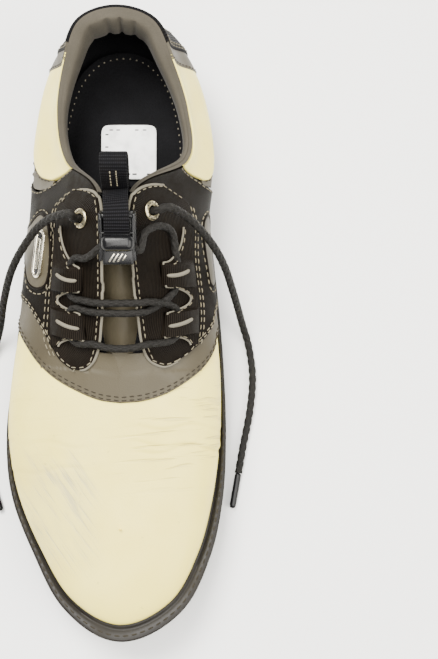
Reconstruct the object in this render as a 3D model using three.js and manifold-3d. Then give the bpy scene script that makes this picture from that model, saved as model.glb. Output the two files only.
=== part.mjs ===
// Golf shoe for a right foot, men's size 10.5, laced and with its two lace ends lying free.
// Millimetres, +Z up, +Y towards the heel, +X towards the inner (medial) side of the foot.
// The origin is on the ground under the middle of the shoe, and the shoe stands on its seven soft cleats.
//
// The upper is built on a last: a closed surface lastPoint(s, t). The station s runs once around the
// foot, from 0 at the heel centre along the outer side to 12 at the toe tip, and along the inner side
// to 24, which is the heel again. The rise t runs from 0 at the sole to 1 at the collar, the throat edge
// or the ridge over the toes. Every leather piece is a patch of that surface with a thickness.
import * as THREE from 'three';
import { mergeVertices } from 'three/addons/utils/BufferGeometryUtils.js';
import Module from 'manifold-3d';

const wasm = await Module();
wasm.setup();

// ---- Driving dimensions (mm) ----------------------------------------------------------------

const ORIGIN_SHIFT = [2.75, 4.15]; // moves the model along X and Y so that the shoe's box is centred
const LEATHER = 1.2;               // thickness of a leather panel
const GAP = 0.5;                   // clearance between layers that touch on the real shoe
const SEAM = 0.5;                  // each side of a seam is drawn back by this much
const CLEAT_HEIGHT = 6;            // from the ground to the underside of the outsole
const OUTSOLE_THICKNESS = 5.5;
const SOLE_AT_BALL = 20;           // height of the upper's lower edge at the ball of the foot
const HEEL_LIFT = 7;               // how much higher that edge is at the heel
const TOE_SPRING = 7;              // and at the toe tip
const LACE_RADIUS = 1.8;
const LACE_OVER = 3.4;             // height of the lace's centre over the last where it lies on the facing
const LACE_UNDER = -7.3;           // and where it passes behind the facing
const EYELET_HOLE = 3.1;           // radius of the hole through the leather
const CLEAT_RADIUS = 10;
const STEM_RADIUS = 4.2;
const RECEPTACLE_RADIUS = 8.5;
const CLEAT_SITES = [
  ['ball_lateral', -32, -46],
  ['ball_medial', 27, -52],
  ['toe_lateral', -24, -90],
  ['toe_medial', 20, -96],
  ['heel_lateral', -19, 90],
  ['heel_medial', 19, 90],
  ['heel_rear', 0, 122],
];

// One row per station of the last: foot x, foot y, top x, top y, top z, bulge, roundness, welt width.
const STATIONS = [
  [0, 143, 0, 142, 84, 7, 0, 5],
  [-17, 138, -17.5, 137, 81, 7.5, 0, 4.5],
  [-30, 122, -25, 121.5, 74, 8, 0, 4],
  [-37, 97, -29.5, 97, 66, 8, 0, 4],
  [-41, 70, -25, 72, 67, 8.5, 0.05, 4],
  [-44.5, 40, -6, 47, 95, 9, 0.3, 4],
  [-48, 8, -5, -4, 73, 8, 0.6, 4],
  [-52.5, -24, 2, -31, 62.8, 6.5, 0.9, 2.5],
  [-55, -56, 2, -53, 56, 5, 1, 3],
  [-50.5, -86, 2, -74, 50.6, 4, 1, 4.5],
  [-38.5, -114, 1.5, -92, 46.7, 3.5, 1, 5],
  [-22.5, -138, 1, -101, 45, 3.5, 1, 6.5],
  [1, -149.5, 1, -104, 44.5, 4, 1, 8.5],
  [25, -139, 1, -101, 45, 3.5, 1, 7.5],
  [38.5, -115.5, 1.5, -92, 46.7, 3.5, 1, 6.5],
  [45.5, -88, 2, -74, 50.6, 4, 1, 5.5],
  [48.5, -58, 2, -53, 56, 5, 1, 4],
  [48, -26, 2, -31, 62.8, 6.5, 0.9, 3.5],
  [45, 6, 10, -4, 73, 8, 0.6, 4],
  [41.5, 38, 9, 47, 95, 9, 0.3, 4],
  [38.5, 69, 34, 72, 67, 8.5, 0.05, 4],
  [37, 97, 34, 97, 66, 8, 0, 4],
  [30, 122, 26, 121.5, 74, 8, 0, 4],
  [17, 138, 17.5, 137, 81, 7.5, 0, 4.5],
];
const RIDGE_FIRST = 7;             // from this station to RIDGE_LAST the two sides meet on the ridge
const RIDGE_LAST = 17;

// ---- The last ---------------------------------------------------------------------------------

function stationRow(s) {
  const count = STATIONS.length;
  const whole = Math.floor(s);
  const u = s - whole;
  const row = (k) => STATIONS[(((whole + k) % count) + count) % count];
  const [a, b, c, d] = [row(-1), row(0), row(1), row(2)];
  return a.map((_, i) => 0.5 * (2 * b[i] + (c[i] - a[i]) * u
    + (2 * a[i] - 5 * b[i] + 4 * c[i] - d[i]) * u * u
    + (3 * b[i] - a[i] - 3 * c[i] + d[i]) * u * u * u));
}

function wrap(s) {
  return ((s % 24) + 24) % 24;
}

function onRidge(s) {
  return wrap(s) >= RIDGE_FIRST && wrap(s) <= RIDGE_LAST;
}

function ridgeX(s) {
  return Math.min(2, 1 + Math.abs(wrap(s) - 12) / 3);
}

function soleTop(y) {
  const heel = THREE.MathUtils.smoothstep(y, -20, 110);
  const toe = Math.max(0, (-y - 85) / 61);
  return SOLE_AT_BALL + HEEL_LIFT * heel + TOE_SPRING * toe * toe;
}

function soleBottom(y) {
  const waist = THREE.MathUtils.smoothstep(y, 0, 25) * (1 - THREE.MathUtils.smoothstep(y, 50, 72));
  const toe = Math.max(0, (-y - 108) / 50);
  return CLEAT_HEIGHT + 2 * waist + 8 * toe * toe;
}

function outwardAt(s) {
  const step = 1e-3;
  const a = stationRow(s - step);
  const b = stationRow(s + step);
  const length = Math.hypot(b[0] - a[0], b[1] - a[1]);
  return [(b[1] - a[1]) / length, -(b[0] - a[0]) / length];
}

// Point of the last. A straight wall and a quarter ellipse are mixed by the station's roundness, the
// bulge pushes the wall outwards below its middle, and the last term keeps the surface level across
// the ridge.
function lastPoint(s, t) {
  const [footX, footY, topX, topY, topZ, bulge, roundness] = stationRow(s);
  const k = THREE.MathUtils.clamp(roundness, 0, 1);
  const across = t * (1 - k) + k * (1 - Math.cos(t * Math.PI / 2));
  const up = t * (1 - k) + k * Math.sin(t * Math.PI / 2);
  const push = bulge * 17.54 * t ** 1.5 * (1 - t) ** 3;
  const [outX, outY] = outwardAt(s);
  const endX = onRidge(s) ? ridgeX(s) : topX;
  const slope = 0.17 + 0.0022 * (topY + 104);
  const level = onRidge(s) ? slope * (topY - footY) * Math.PI / 2 * t * t * (t - 1) : 0;
  const footZ = soleTop(footY);
  return new THREE.Vector3(
    footX + (endX - footX) * across + outX * push,
    footY + (topY - footY) * across + outY * push,
    footZ + (topZ - footZ) * up + level,
  );
}

function lastNormal(s, t) {
  const step = 2e-3;
  const t0 = Math.max(0, t - step);
  const t1 = Math.min(1, t + step);
  const along = lastPoint(s + step, t).sub(lastPoint(s - step, t));
  const rise = lastPoint(s, t1).sub(lastPoint(s, t0));
  return along.cross(rise).normalize();
}

// Point at a height over the last.
function over(s, t, height) {
  return lastPoint(s, t).addScaledVector(lastNormal(s, t), height);
}

// ---- Closed solids from grids of points ----------------------------------------------------------

// Closes the space between a front and a back sheet that share one list of triangles.
function closeSheets(front, back, faces) {
  const used = new Map();
  const edgeKey = (a, b) => `${a}_${b}`;
  for (const [a, b, c] of faces) {
    used.set(edgeKey(a, b), [a, b]);
    used.set(edgeKey(b, c), [b, c]);
    used.set(edgeKey(c, a), [c, a]);
  }
  const count = front.length;
  const index = [];
  for (const [a, b, c] of faces) {
    index.push(a, b, c, count + a, count + c, count + b);
  }
  for (const [a, b] of used.values()) {
    if (!used.has(edgeKey(b, a))) {
      index.push(b, a, count + a, b, count + a, count + b);
    }
  }
  const geometry = new THREE.BufferGeometry();
  const positions = [...front, ...back].flatMap((p) => [p.x, p.y, p.z]);
  geometry.setAttribute('position', new THREE.Float32BufferAttribute(positions, 3));
  geometry.setIndex(index);
  return geometry;
}

// Joins grids of nodes {p, s, t} into one list of points and triangles; equal points become one.
function joinGrids(grids) {
  const nodes = [];
  const ids = new Map();
  const faces = [];
  const idOf = (node) => {
    const key = node.p.toArray().map((value) => Math.round(value * 500)).join(',');
    if (!ids.has(key)) {
      ids.set(key, nodes.length);
      nodes.push(node);
    }
    return ids.get(key);
  };
  for (const grid of grids) {
    for (let i = 0; i + 1 < grid.length; i += 1) {
      for (let j = 0; j + 1 < grid[i].length; j += 1) {
        const [a, b] = [idOf(grid[i][j]), idOf(grid[i + 1][j])];
        const [c, d] = [idOf(grid[i + 1][j + 1]), idOf(grid[i][j + 1])];
        for (const face of [[a, b, c], [a, c, d]]) {
          if (new Set(face).size === 3) {
            faces.push(face);
          }
        }
      }
    }
  }
  return { nodes, faces };
}

// A leather piece: the joined grids, thickened from one height over the last to another.
function leather(grids, outer, inner) {
  const { nodes, faces } = joinGrids(grids);
  const normals = nodes.map(() => new THREE.Vector3());
  for (const [a, b, c] of faces) {
    const [p, q, r] = [nodes[a].p, nodes[b].p, nodes[c].p];
    const normal = q.clone().sub(p).cross(r.clone().sub(p));
    for (const id of [a, b, c]) {
      normals[id].add(normal);
    }
  }
  const heightOf = (height, node) => (typeof height === 'function' ? height(node.s, node.t) : height);
  const front = nodes.map((n, i) => n.p.clone().addScaledVector(normals[i].normalize(), heightOf(outer, n)));
  const back = nodes.map((n, i) => n.p.clone().addScaledVector(normals[i], heightOf(inner, n)));
  return closeSheets(front, back, faces);
}

// A rail is a smooth line through points [s, t]; it is measured in millimetres, roughly.
const MM_PER_STATION = 28;
const MM_PER_RISE = 70;

function rail(points) {
  const path = points.map(([s, t]) => new THREE.Vector3(s * MM_PER_STATION, t * MM_PER_RISE, 0));
  const curve = new THREE.CatmullRomCurve3(path, false, 'centripetal');
  return (u) => {
    const point = curve.getPointAt(u);
    return [point.x / MM_PER_STATION, point.y / MM_PER_RISE];
  };
}

// Fills four rails with a grid. bottom and top run with s, left and right run with t.
function fill({ bottom, top, left, right }, columns, rows, welded = '') {
  const [b, t, l, r] = [bottom, top, left, right].map(rail);
  const grid = [];
  for (let i = 0; i <= columns; i += 1) {
    const u = i / columns;
    const column = [];
    for (let j = 0; j <= rows; j += 1) {
      const v = j / rows;
      const [bu, tu, lv, rv] = [b(u), t(u), l(v), r(v)];
      const [b0, b1, t0, t1] = [b(0), b(1), t(0), t(1)];
      const st = [0, 1].map((k) => (1 - v) * bu[k] + v * tu[k] + (1 - u) * lv[k] + u * rv[k]
        - (1 - u) * (1 - v) * b0[k] - u * (1 - v) * b1[k] - (1 - u) * v * t0[k] - u * v * t1[k]);
      const rise = THREE.MathUtils.clamp(st[1], 0, 1);
      column.push({ s: st[0], t: rise, p: lastPoint(st[0], rise) });
    }
    grid.push(column);
  }
  return drawBack(grid, welded);
}

// Draws the edges of a grid back by SEAM, except the welded ones (letters b, t, l, r).
function drawBack(grid, welded) {
  const lastColumn = grid.length - 1;
  const lastRow = grid[0].length - 1;
  const pull = (node, towards) => {
    const step = towards.p.clone().sub(node.p);
    const length = step.length();
    if (length > 1e-6) {
      node.p = node.p.clone().addScaledVector(step, Math.min(0.8, SEAM / length));
    }
  };
  for (let i = 0; i <= lastColumn; i += 1) {
    if (!welded.includes('b')) pull(grid[i][0], grid[i][1]);
    if (!welded.includes('t')) pull(grid[i][lastRow], grid[i][lastRow - 1]);
  }
  for (let j = 0; j <= lastRow; j += 1) {
    if (!welded.includes('l')) pull(grid[0][j], grid[1][j]);
    if (!welded.includes('r')) pull(grid[lastColumn][j], grid[lastColumn - 1][j]);
  }
  return grid;
}

// A plain rectangle of the last between two stations and two rises.
function band(s0, s1, t0, t1, columns, rows, welded = '') {
  return fill({
    bottom: [[s0, t0], [s1, t0]],
    top: [[s0, t1], [s1, t1]],
    left: [[s0, t0], [s0, t1]],
    right: [[s1, t0], [s1, t1]],
  }, columns, rows, welded);
}

// The same rails on the other side of the foot.
function mirrored(rails) {
  const flip = (points) => points.map(([s, t]) => [24 - s, t]).reverse();
  const keep = (points) => points.map(([s, t]) => [24 - s, t]);
  return {
    bottom: flip(rails.bottom),
    top: flip(rails.top),
    left: keep(rails.right),
    right: keep(rails.left),
  };
}

// ---- Sole pieces ----------------------------------------------------------------------------------

// A point between the middle line of the foot (r = 0) and the edge drawn in by inset (r = 1).
function planPoint(s, r, inset) {
  const row = stationRow(s);
  const [outX, outY] = outwardAt(s);
  const edgeX = row[0] - outX * inset;
  const edgeY = row[1] - outY * inset;
  const side = Math.min(wrap(s), 24 - wrap(s));
  const spineY = THREE.MathUtils.lerp(112, -112, THREE.MathUtils.smoothstep(side, 0.5, 11.5));
  return new THREE.Vector3(edgeX * r, spineY + (edgeY - spineY) * r, 0);
}

function soleSlab(inset, bottom, top, columns, radii = [0, 0.5, 1]) {
  const insetAt = typeof inset === 'function' ? inset : () => inset;
  const grid = [];
  for (let i = 0; i <= columns; i += 1) {
    const s = 24 * i / columns;
    grid.push(radii.map((r) => ({ s, t: r, p: planPoint(s, r, insetAt(s)) })));
  }
  const { nodes, faces } = joinGrids([grid]);
  const lift = (height) => nodes.map(({ p, t }) => new THREE.Vector3(p.x, p.y, height(p.y, t)));
  const turned = faces.map(([a, b, c]) => [a, c, b]);
  return closeSheets(lift(top), lift(bottom), turned);
}

const weltWidth = (s) => stationRow(s)[7];

// ---- Solids that need a cut or a join ---------------------------------------------------------------

function toSolid(geometry) {
  const bare = geometry.clone();
  bare.deleteAttribute('normal');
  bare.deleteAttribute('uv');
  const merged = mergeVertices(bare, 1e-4);
  return new wasm.Manifold(new wasm.Mesh({
    numProp: 3,
    vertProperties: new Float32Array(merged.attributes.position.array),
    triVerts: new Uint32Array(merged.index.array),
  }));
}

function toGeometry(solid) {
  const mesh = solid.getMesh();
  const geometry = new THREE.BufferGeometry();
  geometry.setAttribute('position', new THREE.BufferAttribute(new Float32Array(mesh.vertProperties), 3));
  geometry.setIndex(new THREE.BufferAttribute(new Uint32Array(mesh.triVerts), 1));
  return geometry;
}

function cut(geometry, ...tools) {
  return toGeometry(tools.reduce((solid, tool) => solid.subtract(toSolid(tool)), toSolid(geometry)));
}

function join(geometry, ...others) {
  return toGeometry(others.reduce((solid, other) => solid.add(toSolid(other)), toSolid(geometry)));
}

// A turned solid; the profile is a closed loop of [radius, height], standing on +Z.
function turned(profile, segments) {
  const points = [...profile, profile[0]].map(([radius, height]) => new THREE.Vector2(radius, height));
  return new THREE.LatheGeometry(points, segments).rotateX(Math.PI / 2);
}

// Turns a solid that stands on +Z so that it stands on the last at (s, t).
function standOn(geometry, s, t, height = 0) {
  const turn = new THREE.Quaternion().setFromUnitVectors(new THREE.Vector3(0, 0, 1), lastNormal(s, t));
  const place = over(s, t, height);
  return geometry.applyQuaternion(turn).translate(place.x, place.y, place.z);
}

function rod(radius, length, sides = 16) {
  return new THREE.CylinderGeometry(radius, radius, length, sides).rotateX(Math.PI / 2);
}

// A tube of round section along a smooth line through the points.
function tube(points, radius, steps) {
  const section = new THREE.Shape();
  for (let i = 0; i < 8; i += 1) {
    const angle = i * Math.PI / 4;
    const [x, y] = [radius * Math.cos(angle), radius * Math.sin(angle)];
    if (i === 0) {
      section.moveTo(x, y);
    } else {
      section.lineTo(x, y);
    }
  }
  section.closePath();
  const extrudePath = new THREE.CatmullRomCurve3(points, false, 'centripetal');
  return new THREE.ExtrudeGeometry(section, { steps, extrudePath });
}

// ---- The shoe ----------------------------------------------------------------------------------------

const part = new THREE.Group();

function addPiece(name, geometry, color, roughness, metalness = 0) {
  const mesh = new THREE.Mesh(geometry, new THREE.MeshStandardMaterial({ color, roughness, metalness }));
  mesh.name = name;
  mesh.position.set(...ORIGIN_SHIFT, 0);
  part.add(mesh);
}

const CREAM = 0xe8e2c8;
const TAUPE = 0x8d8471;
const BLACK = 0x26211c;
const WEBBING = 0x1d1b1b;
const LINING = 0x9a958c;
const FOAM = 0xb8b4a8;
const BOARD = 0xb09a76;
const STIFFENER = 0xcfc6b2;
const RUBBER = 0x3a332d;
const PLASTIC = 0x1c1c1e;
const SOCKET = 0x4c4c4e;
const LACE = 0x191817;
const PAPER = 0xf0efec;
const STEEL = 0xb9bcbe;

// Sole ------------------------------------------------------------------------------------------------

const RECEPTACLE_TOP = 10.4;
const POCKET_DEPTH = RECEPTACLE_TOP + 0.5 - CLEAT_HEIGHT;
const pocket = (x, y) => rod(RECEPTACLE_RADIUS + 0.35, 2 * POCKET_DEPTH, 12).translate(x, y, CLEAT_HEIGHT);

const outsole = soleSlab(
  (s) => -weltWidth(s),
  (y) => soleBottom(y),
  (y) => soleBottom(y) + OUTSOLE_THICKNESS,
  40,
  [0, 0.5, 1],
);
addPiece('outsole', cut(outsole, ...CLEAT_SITES.map(([, x, y]) => pocket(x, y))), RUBBER, 0.7);

const shankStrip = (halfWidth, from, to, low, high) => {
  const grid = [];
  for (let i = 0; i <= 8; i += 1) {
    const y = THREE.MathUtils.lerp(from, to, i / 8);
    grid.push([-halfWidth, halfWidth].map((x) => ({ s: 0, t: 0, p: new THREE.Vector3(x, y, 0) })));
  }
  const { nodes, faces } = joinGrids([grid]);
  const lift = (height) => nodes.map(({ p }) => new THREE.Vector3(p.x, p.y, soleTop(p.y) + height));
  return closeSheets(lift(high), lift(low), faces.map(([a, b, c]) => [a, c, b]));
};
addPiece('shank', shankStrip(8, -12, 84, -1.7, -0.6), STEEL, 0.4, 1);

const midsole = soleSlab(
  (s) => 0.6 - weltWidth(s),
  (y) => soleBottom(y) + OUTSOLE_THICKNESS + 0.3,
  (y) => soleTop(y) - 0.3,
  40,
);
addPiece('midsole', cut(midsole, shankStrip(8.5, -12.6, 84.6, -2.1, 3)), RUBBER, 0.85);

const weltRing = () => {
  const grid = [];
  for (let i = 0; i <= 48; i += 1) {
    const s = 24 * i / 48;
    grid.push([planPoint(s, 1, -1.9), planPoint(s, 1, -weltWidth(s))].map((p) => ({ s, t: 0, p })));
  }
  const { nodes, faces } = joinGrids([grid]);
  const lift = (height) => nodes.map(({ p }) => new THREE.Vector3(p.x, p.y, soleTop(p.y) + height));
  return closeSheets(lift(2), lift(0), faces.map(([a, b, c]) => [a, c, b]));
};
addPiece('welt', weltRing(), RUBBER, 0.7);

addPiece('insole_board', soleSlab(5.2, (y) => soleTop(y) + 0.2, (y) => soleTop(y) + 1.8, 36), BOARD, 0.9);
const cup = (r) => (r > 0.9 ? 1.4 : 0);
const footbedInset = (s) => 5.8 + 5 * THREE.MathUtils.smoothstep(2.4 - Math.abs(s - 12), 0, 1.6);
addPiece('footbed', soleSlab(
  footbedInset,
  (y) => soleTop(y) + 2.2,
  (y, r) => soleTop(y) + 6.6 + cup(r),
  36,
  [0, 0.5, 0.84, 1],
), WEBBING, 0.95);
const label = () => {
  const corner = 3;
  const [halfX, halfY] = [14, 14];
  const shape = new THREE.Shape();
  shape.moveTo(-halfX + corner, -halfY);
  shape.lineTo(halfX - corner, -halfY);
  shape.quadraticCurveTo(halfX, -halfY, halfX, -halfY + corner);
  shape.lineTo(halfX, halfY - corner);
  shape.quadraticCurveTo(halfX, halfY, halfX - corner, halfY);
  shape.lineTo(-halfX + corner, halfY);
  shape.quadraticCurveTo(-halfX, halfY, -halfX, halfY - corner);
  shape.lineTo(-halfX, -halfY + corner);
  shape.quadraticCurveTo(-halfX, -halfY, -halfX + corner, -halfY);
  const middleY = 86;
  const slope = Math.atan2(soleTop(middleY + halfY) - soleTop(middleY - halfY), 2 * halfY);
  return new THREE.ExtrudeGeometry(shape, { depth: 0.4, bevelEnabled: false, curveSegments: 3 })
    .rotateX(slope)
    .translate(3, middleY, soleTop(middleY) + 7.3);
};
addPiece('footbed_label', label(), PAPER, 0.6);

// Cleats and their receptacles, all standing on the ground ------------------------------------------------

function cleat() {
  const legs = 6;
  const body = turned([[0, 0], [4, 0], [4, 1.8], [CLEAT_RADIUS, 2.8], [CLEAT_RADIUS, 4.6],
    [STEM_RADIUS, 5.6], [STEM_RADIUS, 9.2], [0, 9.2]], 12);
  const leg = new THREE.BoxGeometry(4.2, 3, 3.4).translate(7.6, 0, 1.7);
  const turns = Array.from({ length: legs }, (_, i) => leg.clone().rotateZ(2 * Math.PI * i / legs));
  return join(body, ...turns);
}

function receptacle() {
  const bore = STEM_RADIUS + 0.4;
  const boreTop = 9.6;
  return turned([[bore, CLEAT_HEIGHT], [RECEPTACLE_RADIUS, CLEAT_HEIGHT], [RECEPTACLE_RADIUS, RECEPTACLE_TOP],
    [0, RECEPTACLE_TOP], [0, boreTop], [bore, boreTop]], 12);
}

for (const [place, x, y] of CLEAT_SITES) {
  addPiece(`cleat_${place}`, cleat().translate(x, y, 0), PLASTIC, 0.6);
  addPiece(`receptacle_${place}`, receptacle().translate(x, y, 0), SOCKET, 0.5);
}

// Upper panels ------------------------------------------------------------------------------------------

const LOW = 0.012;                 // the upper starts just over the midsole

// Lateral side rails. The medial side has its own values where it differs.
const SIDES = {
  lateral: {
    vampEdge: [[6.1, LOW], [6.28, 0.17], [6.65, 0.39], [6.98, 0.53], [7.2, 0.64], [7.4, 0.77], [7.55, 0.89],
      [7.6, 1]],
    saddleFront: [[5.75, LOW], [5.93, 0.23], [6.05, 0.39], [6.35, 0.52], [6.73, 0.63], [7, 1]],
    saddleBack: [[3.7, LOW], [4, 0.2], [4.28, 0.34], [4.42, 0.46], [4.4, 0.6], [4.28, 0.8], [4.24, 1]],
    creamLow: [[2, 0.18], [2.8, 0.2], [3.45, 0.28], [3.85, 0.4], [4.12, 0.51], [4.27, 0.63]],
    creamFront: [[4.27, 0.63], [4.26, 0.8], [4.24, 1]],
    trimLow: [[2, LOW], [3, LOW], [3.66, LOW], [3.95, 0.2], [4.24, 0.34], [4.38, 0.46]],
    trimEnd: [[4.38, 0.46], [4.36, 0.58], [4.27, 0.63]],
    facingOut: [[4.78, 0.86], [4.72, 0.78], [4.9, 0.63], [5.3, 0.61], [5.93, 0.6], [6.5, 0.6], [6.82, 0.65],
      [7, 0.73]],
    facingEnd: [[7, 0.73], [6.98, 0.8], [6.84, 0.85]],
    facingIn: [[4.97, 1], [5.4, 1], [5.9, 1], [6.2, 0.96], [6.58, 0.9], [6.84, 0.85]],
    facingTop: [[4.78, 0.86], [4.86, 0.94], [4.97, 1]],
    eyelet: [5.15, 0.82],
    window: [[4.9, 0.47], [5.12, 0.54], [5.5, 0.57], [5.74, 0.55], [5.8, 0.48], [5.72, 0.38], [5.45, 0.29],
      [5.2, 0.2], [4.95, 0.2], [4.97, 0.33]],
    loops: [[5.57, 5.79, 0.62, 0.85], [6.02, 6.42, 0.62, 0.85]],
  },
  medial: {
    vampEdge: [[6.3, LOW], [6.47, 0.27], [6.65, 0.32], [6.93, 0.43], [7.22, 0.59], [7.43, 0.73], [7.55, 0.86],
      [7.6, 1]],
    saddleFront: [[5.85, LOW], [6.07, 0.27], [6.32, 0.35], [6.5, 0.44], [6.7, 0.56], [7, 1]],
    saddleBack: [[3.8, LOW], [4.17, 0.24], [4.24, 0.44], [4.2, 0.6], [4.16, 0.8], [4.14, 1]],
    creamLow: [[2, 0.18], [2.8, 0.2], [3.45, 0.28], [3.9, 0.36], [4.08, 0.44], [4.15, 0.52]],
    creamFront: [[4.15, 0.52], [4.15, 0.75], [4.14, 1]],
    trimLow: [[2, LOW], [3, LOW], [3.76, LOW], [4.11, 0.22], [4.2, 0.42]],
    trimEnd: [[4.2, 0.42], [4.19, 0.48], [4.15, 0.52]],
    facingOut: [[4.62, 0.84], [4.64, 0.72], [4.74, 0.54], [5, 0.47], [5.5, 0.49], [6.18, 0.49], [6.6, 0.52],
      [6.84, 0.64]],
    facingEnd: [[6.84, 0.64], [6.92, 0.72], [6.8, 0.81]],
    facingIn: [[4.93, 1], [5.4, 1], [5.9, 1], [6.15, 0.96], [6.4, 0.91], [6.8, 0.81]],
    facingTop: [[4.62, 0.84], [4.72, 0.93], [4.93, 1]],
    eyelet: [5.05, 0.81],
    window: [[4.72, 0.3], [4.86, 0.35], [5.1, 0.36], [5.45, 0.35], [5.68, 0.34], [5.72, 0.29], [5.6, 0.22],
      [5.2, 0.17], [4.8, 0.2]],
    loops: [[5.52, 5.74, 0.52, 0.77], [6.02, 6.38, 0.52, 0.77]],
  },
};

// Rails are written for the lateral side; on the medial side they are mirrored first.
function sideFill(side, rails, columns, rows, welded = '') {
  if (side === 'lateral') {
    return fill(rails, columns, rows, welded);
  }
  const swapped = welded.replace(/[lr]/g, (letter) => (letter === 'l' ? 'r' : 'l'));
  return fill(mirrored(rails), columns, rows, swapped);
}

const sideStation = (side, s) => (side === 'lateral' ? s : 24 - s);

const vampHalf = (side) => {
  const { vampEdge } = SIDES[side];
  return sideFill(side, {
    bottom: [vampEdge[0], [12, LOW]],
    top: [[7.6, 1], [12, 1]],
    left: vampEdge,
    right: [[12, LOW], [12, 1]],
  }, 13, 6, 'tr');
};
addPiece('vamp', leather([vampHalf('lateral'), vampHalf('medial')], 0, -LEATHER), CREAM, 0.45);

const apronHalf = (side) => {
  const { vampEdge, saddleFront } = SIDES[side];
  return sideFill(side, {
    bottom: [saddleFront[0], vampEdge[0]],
    top: [[7, 1], [7.6, 1]],
    left: saddleFront,
    right: vampEdge,
  }, 3, 11, 't');
};
addPiece('apron', leather([apronHalf('lateral'), apronHalf('medial')], 0, -LEATHER), TAUPE, 0.5);

// The hole through all layers at the eyelet.
const eyeletDrill = (side, radius = EYELET_HOLE) => {
  const [s, t] = SIDES[side].eyelet;
  return standOn(rod(radius, 14, 14), sideStation(side, s), t);
};

for (const side of ['lateral', 'medial']) {
  const rails = SIDES[side];
  const saddle = sideFill(side, {
    bottom: [rails.saddleBack[0], rails.saddleFront[0]],
    top: [rails.saddleBack.at(-1), [4.97, 1], [6, 1], [7, 1]],
    left: rails.saddleBack,
    right: rails.saddleFront,
  }, 12, 7);
  addPiece(`saddle_${side}`, cut(leather([saddle], 0, -LEATHER), eyeletDrill(side)), BLACK, 0.55);

  const cream = sideFill(side, {
    bottom: rails.creamLow,
    top: [[2, 1], rails.creamFront.at(-1)],
    left: [[2, 0.18], [2, 1]],
    right: rails.creamFront,
  }, 8, 5);
  addPiece(`rear_quarter_${side}`, leather([cream], 0, -LEATHER), CREAM, 0.45);

  const trim = sideFill(side, {
    bottom: rails.trimLow,
    top: rails.creamLow,
    left: [[2, LOW], [2, 0.18]],
    right: rails.trimEnd,
  }, 11, 2);
  addPiece(`quarter_trim_${side}`, leather([trim], 0, -LEATHER), TAUPE, 0.5);

  const bandLow = sideStation(side, 1.66);
  const bandHigh = sideStation(side, 2);
  addPiece(
    `heel_band_${side}`,
    leather([band(Math.min(bandLow, bandHigh), Math.max(bandLow, bandHigh), LOW, 1, 1, 7)], 0, -LEATHER),
    TAUPE,
    0.5,
  );

  const facing = sideFill(side, {
    bottom: rails.facingOut,
    top: rails.facingIn,
    left: rails.facingTop,
    right: rails.facingEnd,
  }, 14, 4);
  addPiece(
    `facing_${side}`,
    cut(leather([facing], GAP + LEATHER - 0.2, GAP), eyeletDrill(side)),
    BLACK,
    0.5,
  );
}

addPiece('heel_overlay', leather([band(-1.66, 1.66, LOW, 1, 10, 6)], 0, -LEATHER), BLACK, 0.6);

// Windows of taupe leather in the saddle, as thin inlays on its surface.
function inlay(side, outline, height, thickness) {
  const spots = outline.map(([s, t]) => [sideStation(side, s), t]);
  const centre = spots.reduce(([a, b], [s, t]) => [a + s / spots.length, b + t / spots.length], [0, 0]);
  const closed = new THREE.CatmullRomCurve3(
    spots.map(([s, t]) => new THREE.Vector3(s * MM_PER_STATION, t * MM_PER_RISE, 0)),
    true,
    'centripetal',
  );
  const steps = 16;
  const grid = [];
  for (let i = 0; i <= steps; i += 1) {
    const point = closed.getPointAt((i % steps) / steps);
    const column = [0.55, 1].map((r) => {
      const s = centre[0] + (point.x / MM_PER_STATION - centre[0]) * r;
      const t = centre[1] + (point.y / MM_PER_RISE - centre[1]) * r;
      return { s, t, p: lastPoint(s, t) };
    });
    grid.push(column);
  }
  const middle = { s: centre[0], t: centre[1], p: lastPoint(...centre) };
  return outwardLeather(grid.map((column) => [middle, ...column]), height + thickness, height);
}

// Leather from one grid whose direction is not known: the grid is turned if it faces inwards.
function outwardLeather(grid, outer, inner) {
  const [a, b, c] = [grid[0][1], grid[1][1], grid[0][2]];
  const facing = b.p.clone().sub(a.p).cross(c.p.clone().sub(a.p)).dot(lastNormal(a.s, a.t));
  return leather([facing > 0 ? grid : [...grid].reverse()], outer, inner);
}

for (const side of ['lateral', 'medial']) {
  addPiece(`window_insert_${side}`, inlay(side, SIDES[side].window, GAP, 0.6), TAUPE, 0.5);
}

// The badge is a bar with rounded ends on the lateral window.
const badge = () => {
  const [from, to] = [over(5.15, 0.49, 0), over(5.66, 0.47, 0)];
  const length = from.distanceTo(to);
  const shape = new THREE.Shape();
  const half = 2.2;
  shape.absarc(0, length / 2 - half, half, 0, Math.PI, false);
  shape.absarc(0, half - length / 2, half, Math.PI, 2 * Math.PI, false);
  const bar = new THREE.ExtrudeGeometry(shape, {
    depth: 1.4, bevelThickness: 0.6, bevelSize: 0.6, bevelSegments: 1, curveSegments: 4,
  });
  const along = to.clone().sub(from).normalize();
  const normal = lastNormal(5.4, 0.48);
  const across = along.clone().cross(normal).normalize();
  const turn = new THREE.Matrix4().makeBasis(across, along, across.clone().cross(along).normalize());
  const middle = over(5.4, 0.48, 2.4);
  return bar.applyMatrix4(turn).translate(middle.x, middle.y, middle.z);
};
addPiece('side_badge', badge(), STEEL, 0.15, 1);

// Lace loops: arches on the facing that the lace runs under.
const LOOP_RISE = 4.7;

function laceLoop(side, [s0, s1, t0, t1]) {
  const arch = (t) => Math.sin(Math.PI * THREE.MathUtils.clamp((t - t0) / (t1 - t0), 0, 1)) ** 0.55;
  const [a, b] = [sideStation(side, s0), sideStation(side, s1)];
  const grid = band(Math.min(a, b), Math.max(a, b), t0, t1, 2, 8, 'bt');
  const base = GAP + LEATHER - 0.2 + 0.35;
  return leather(
    [grid],
    (s, t) => base + 0.9 + LOOP_RISE * arch(t),
    (s, t) => base + LOOP_RISE * arch(t),
  );
}

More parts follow.
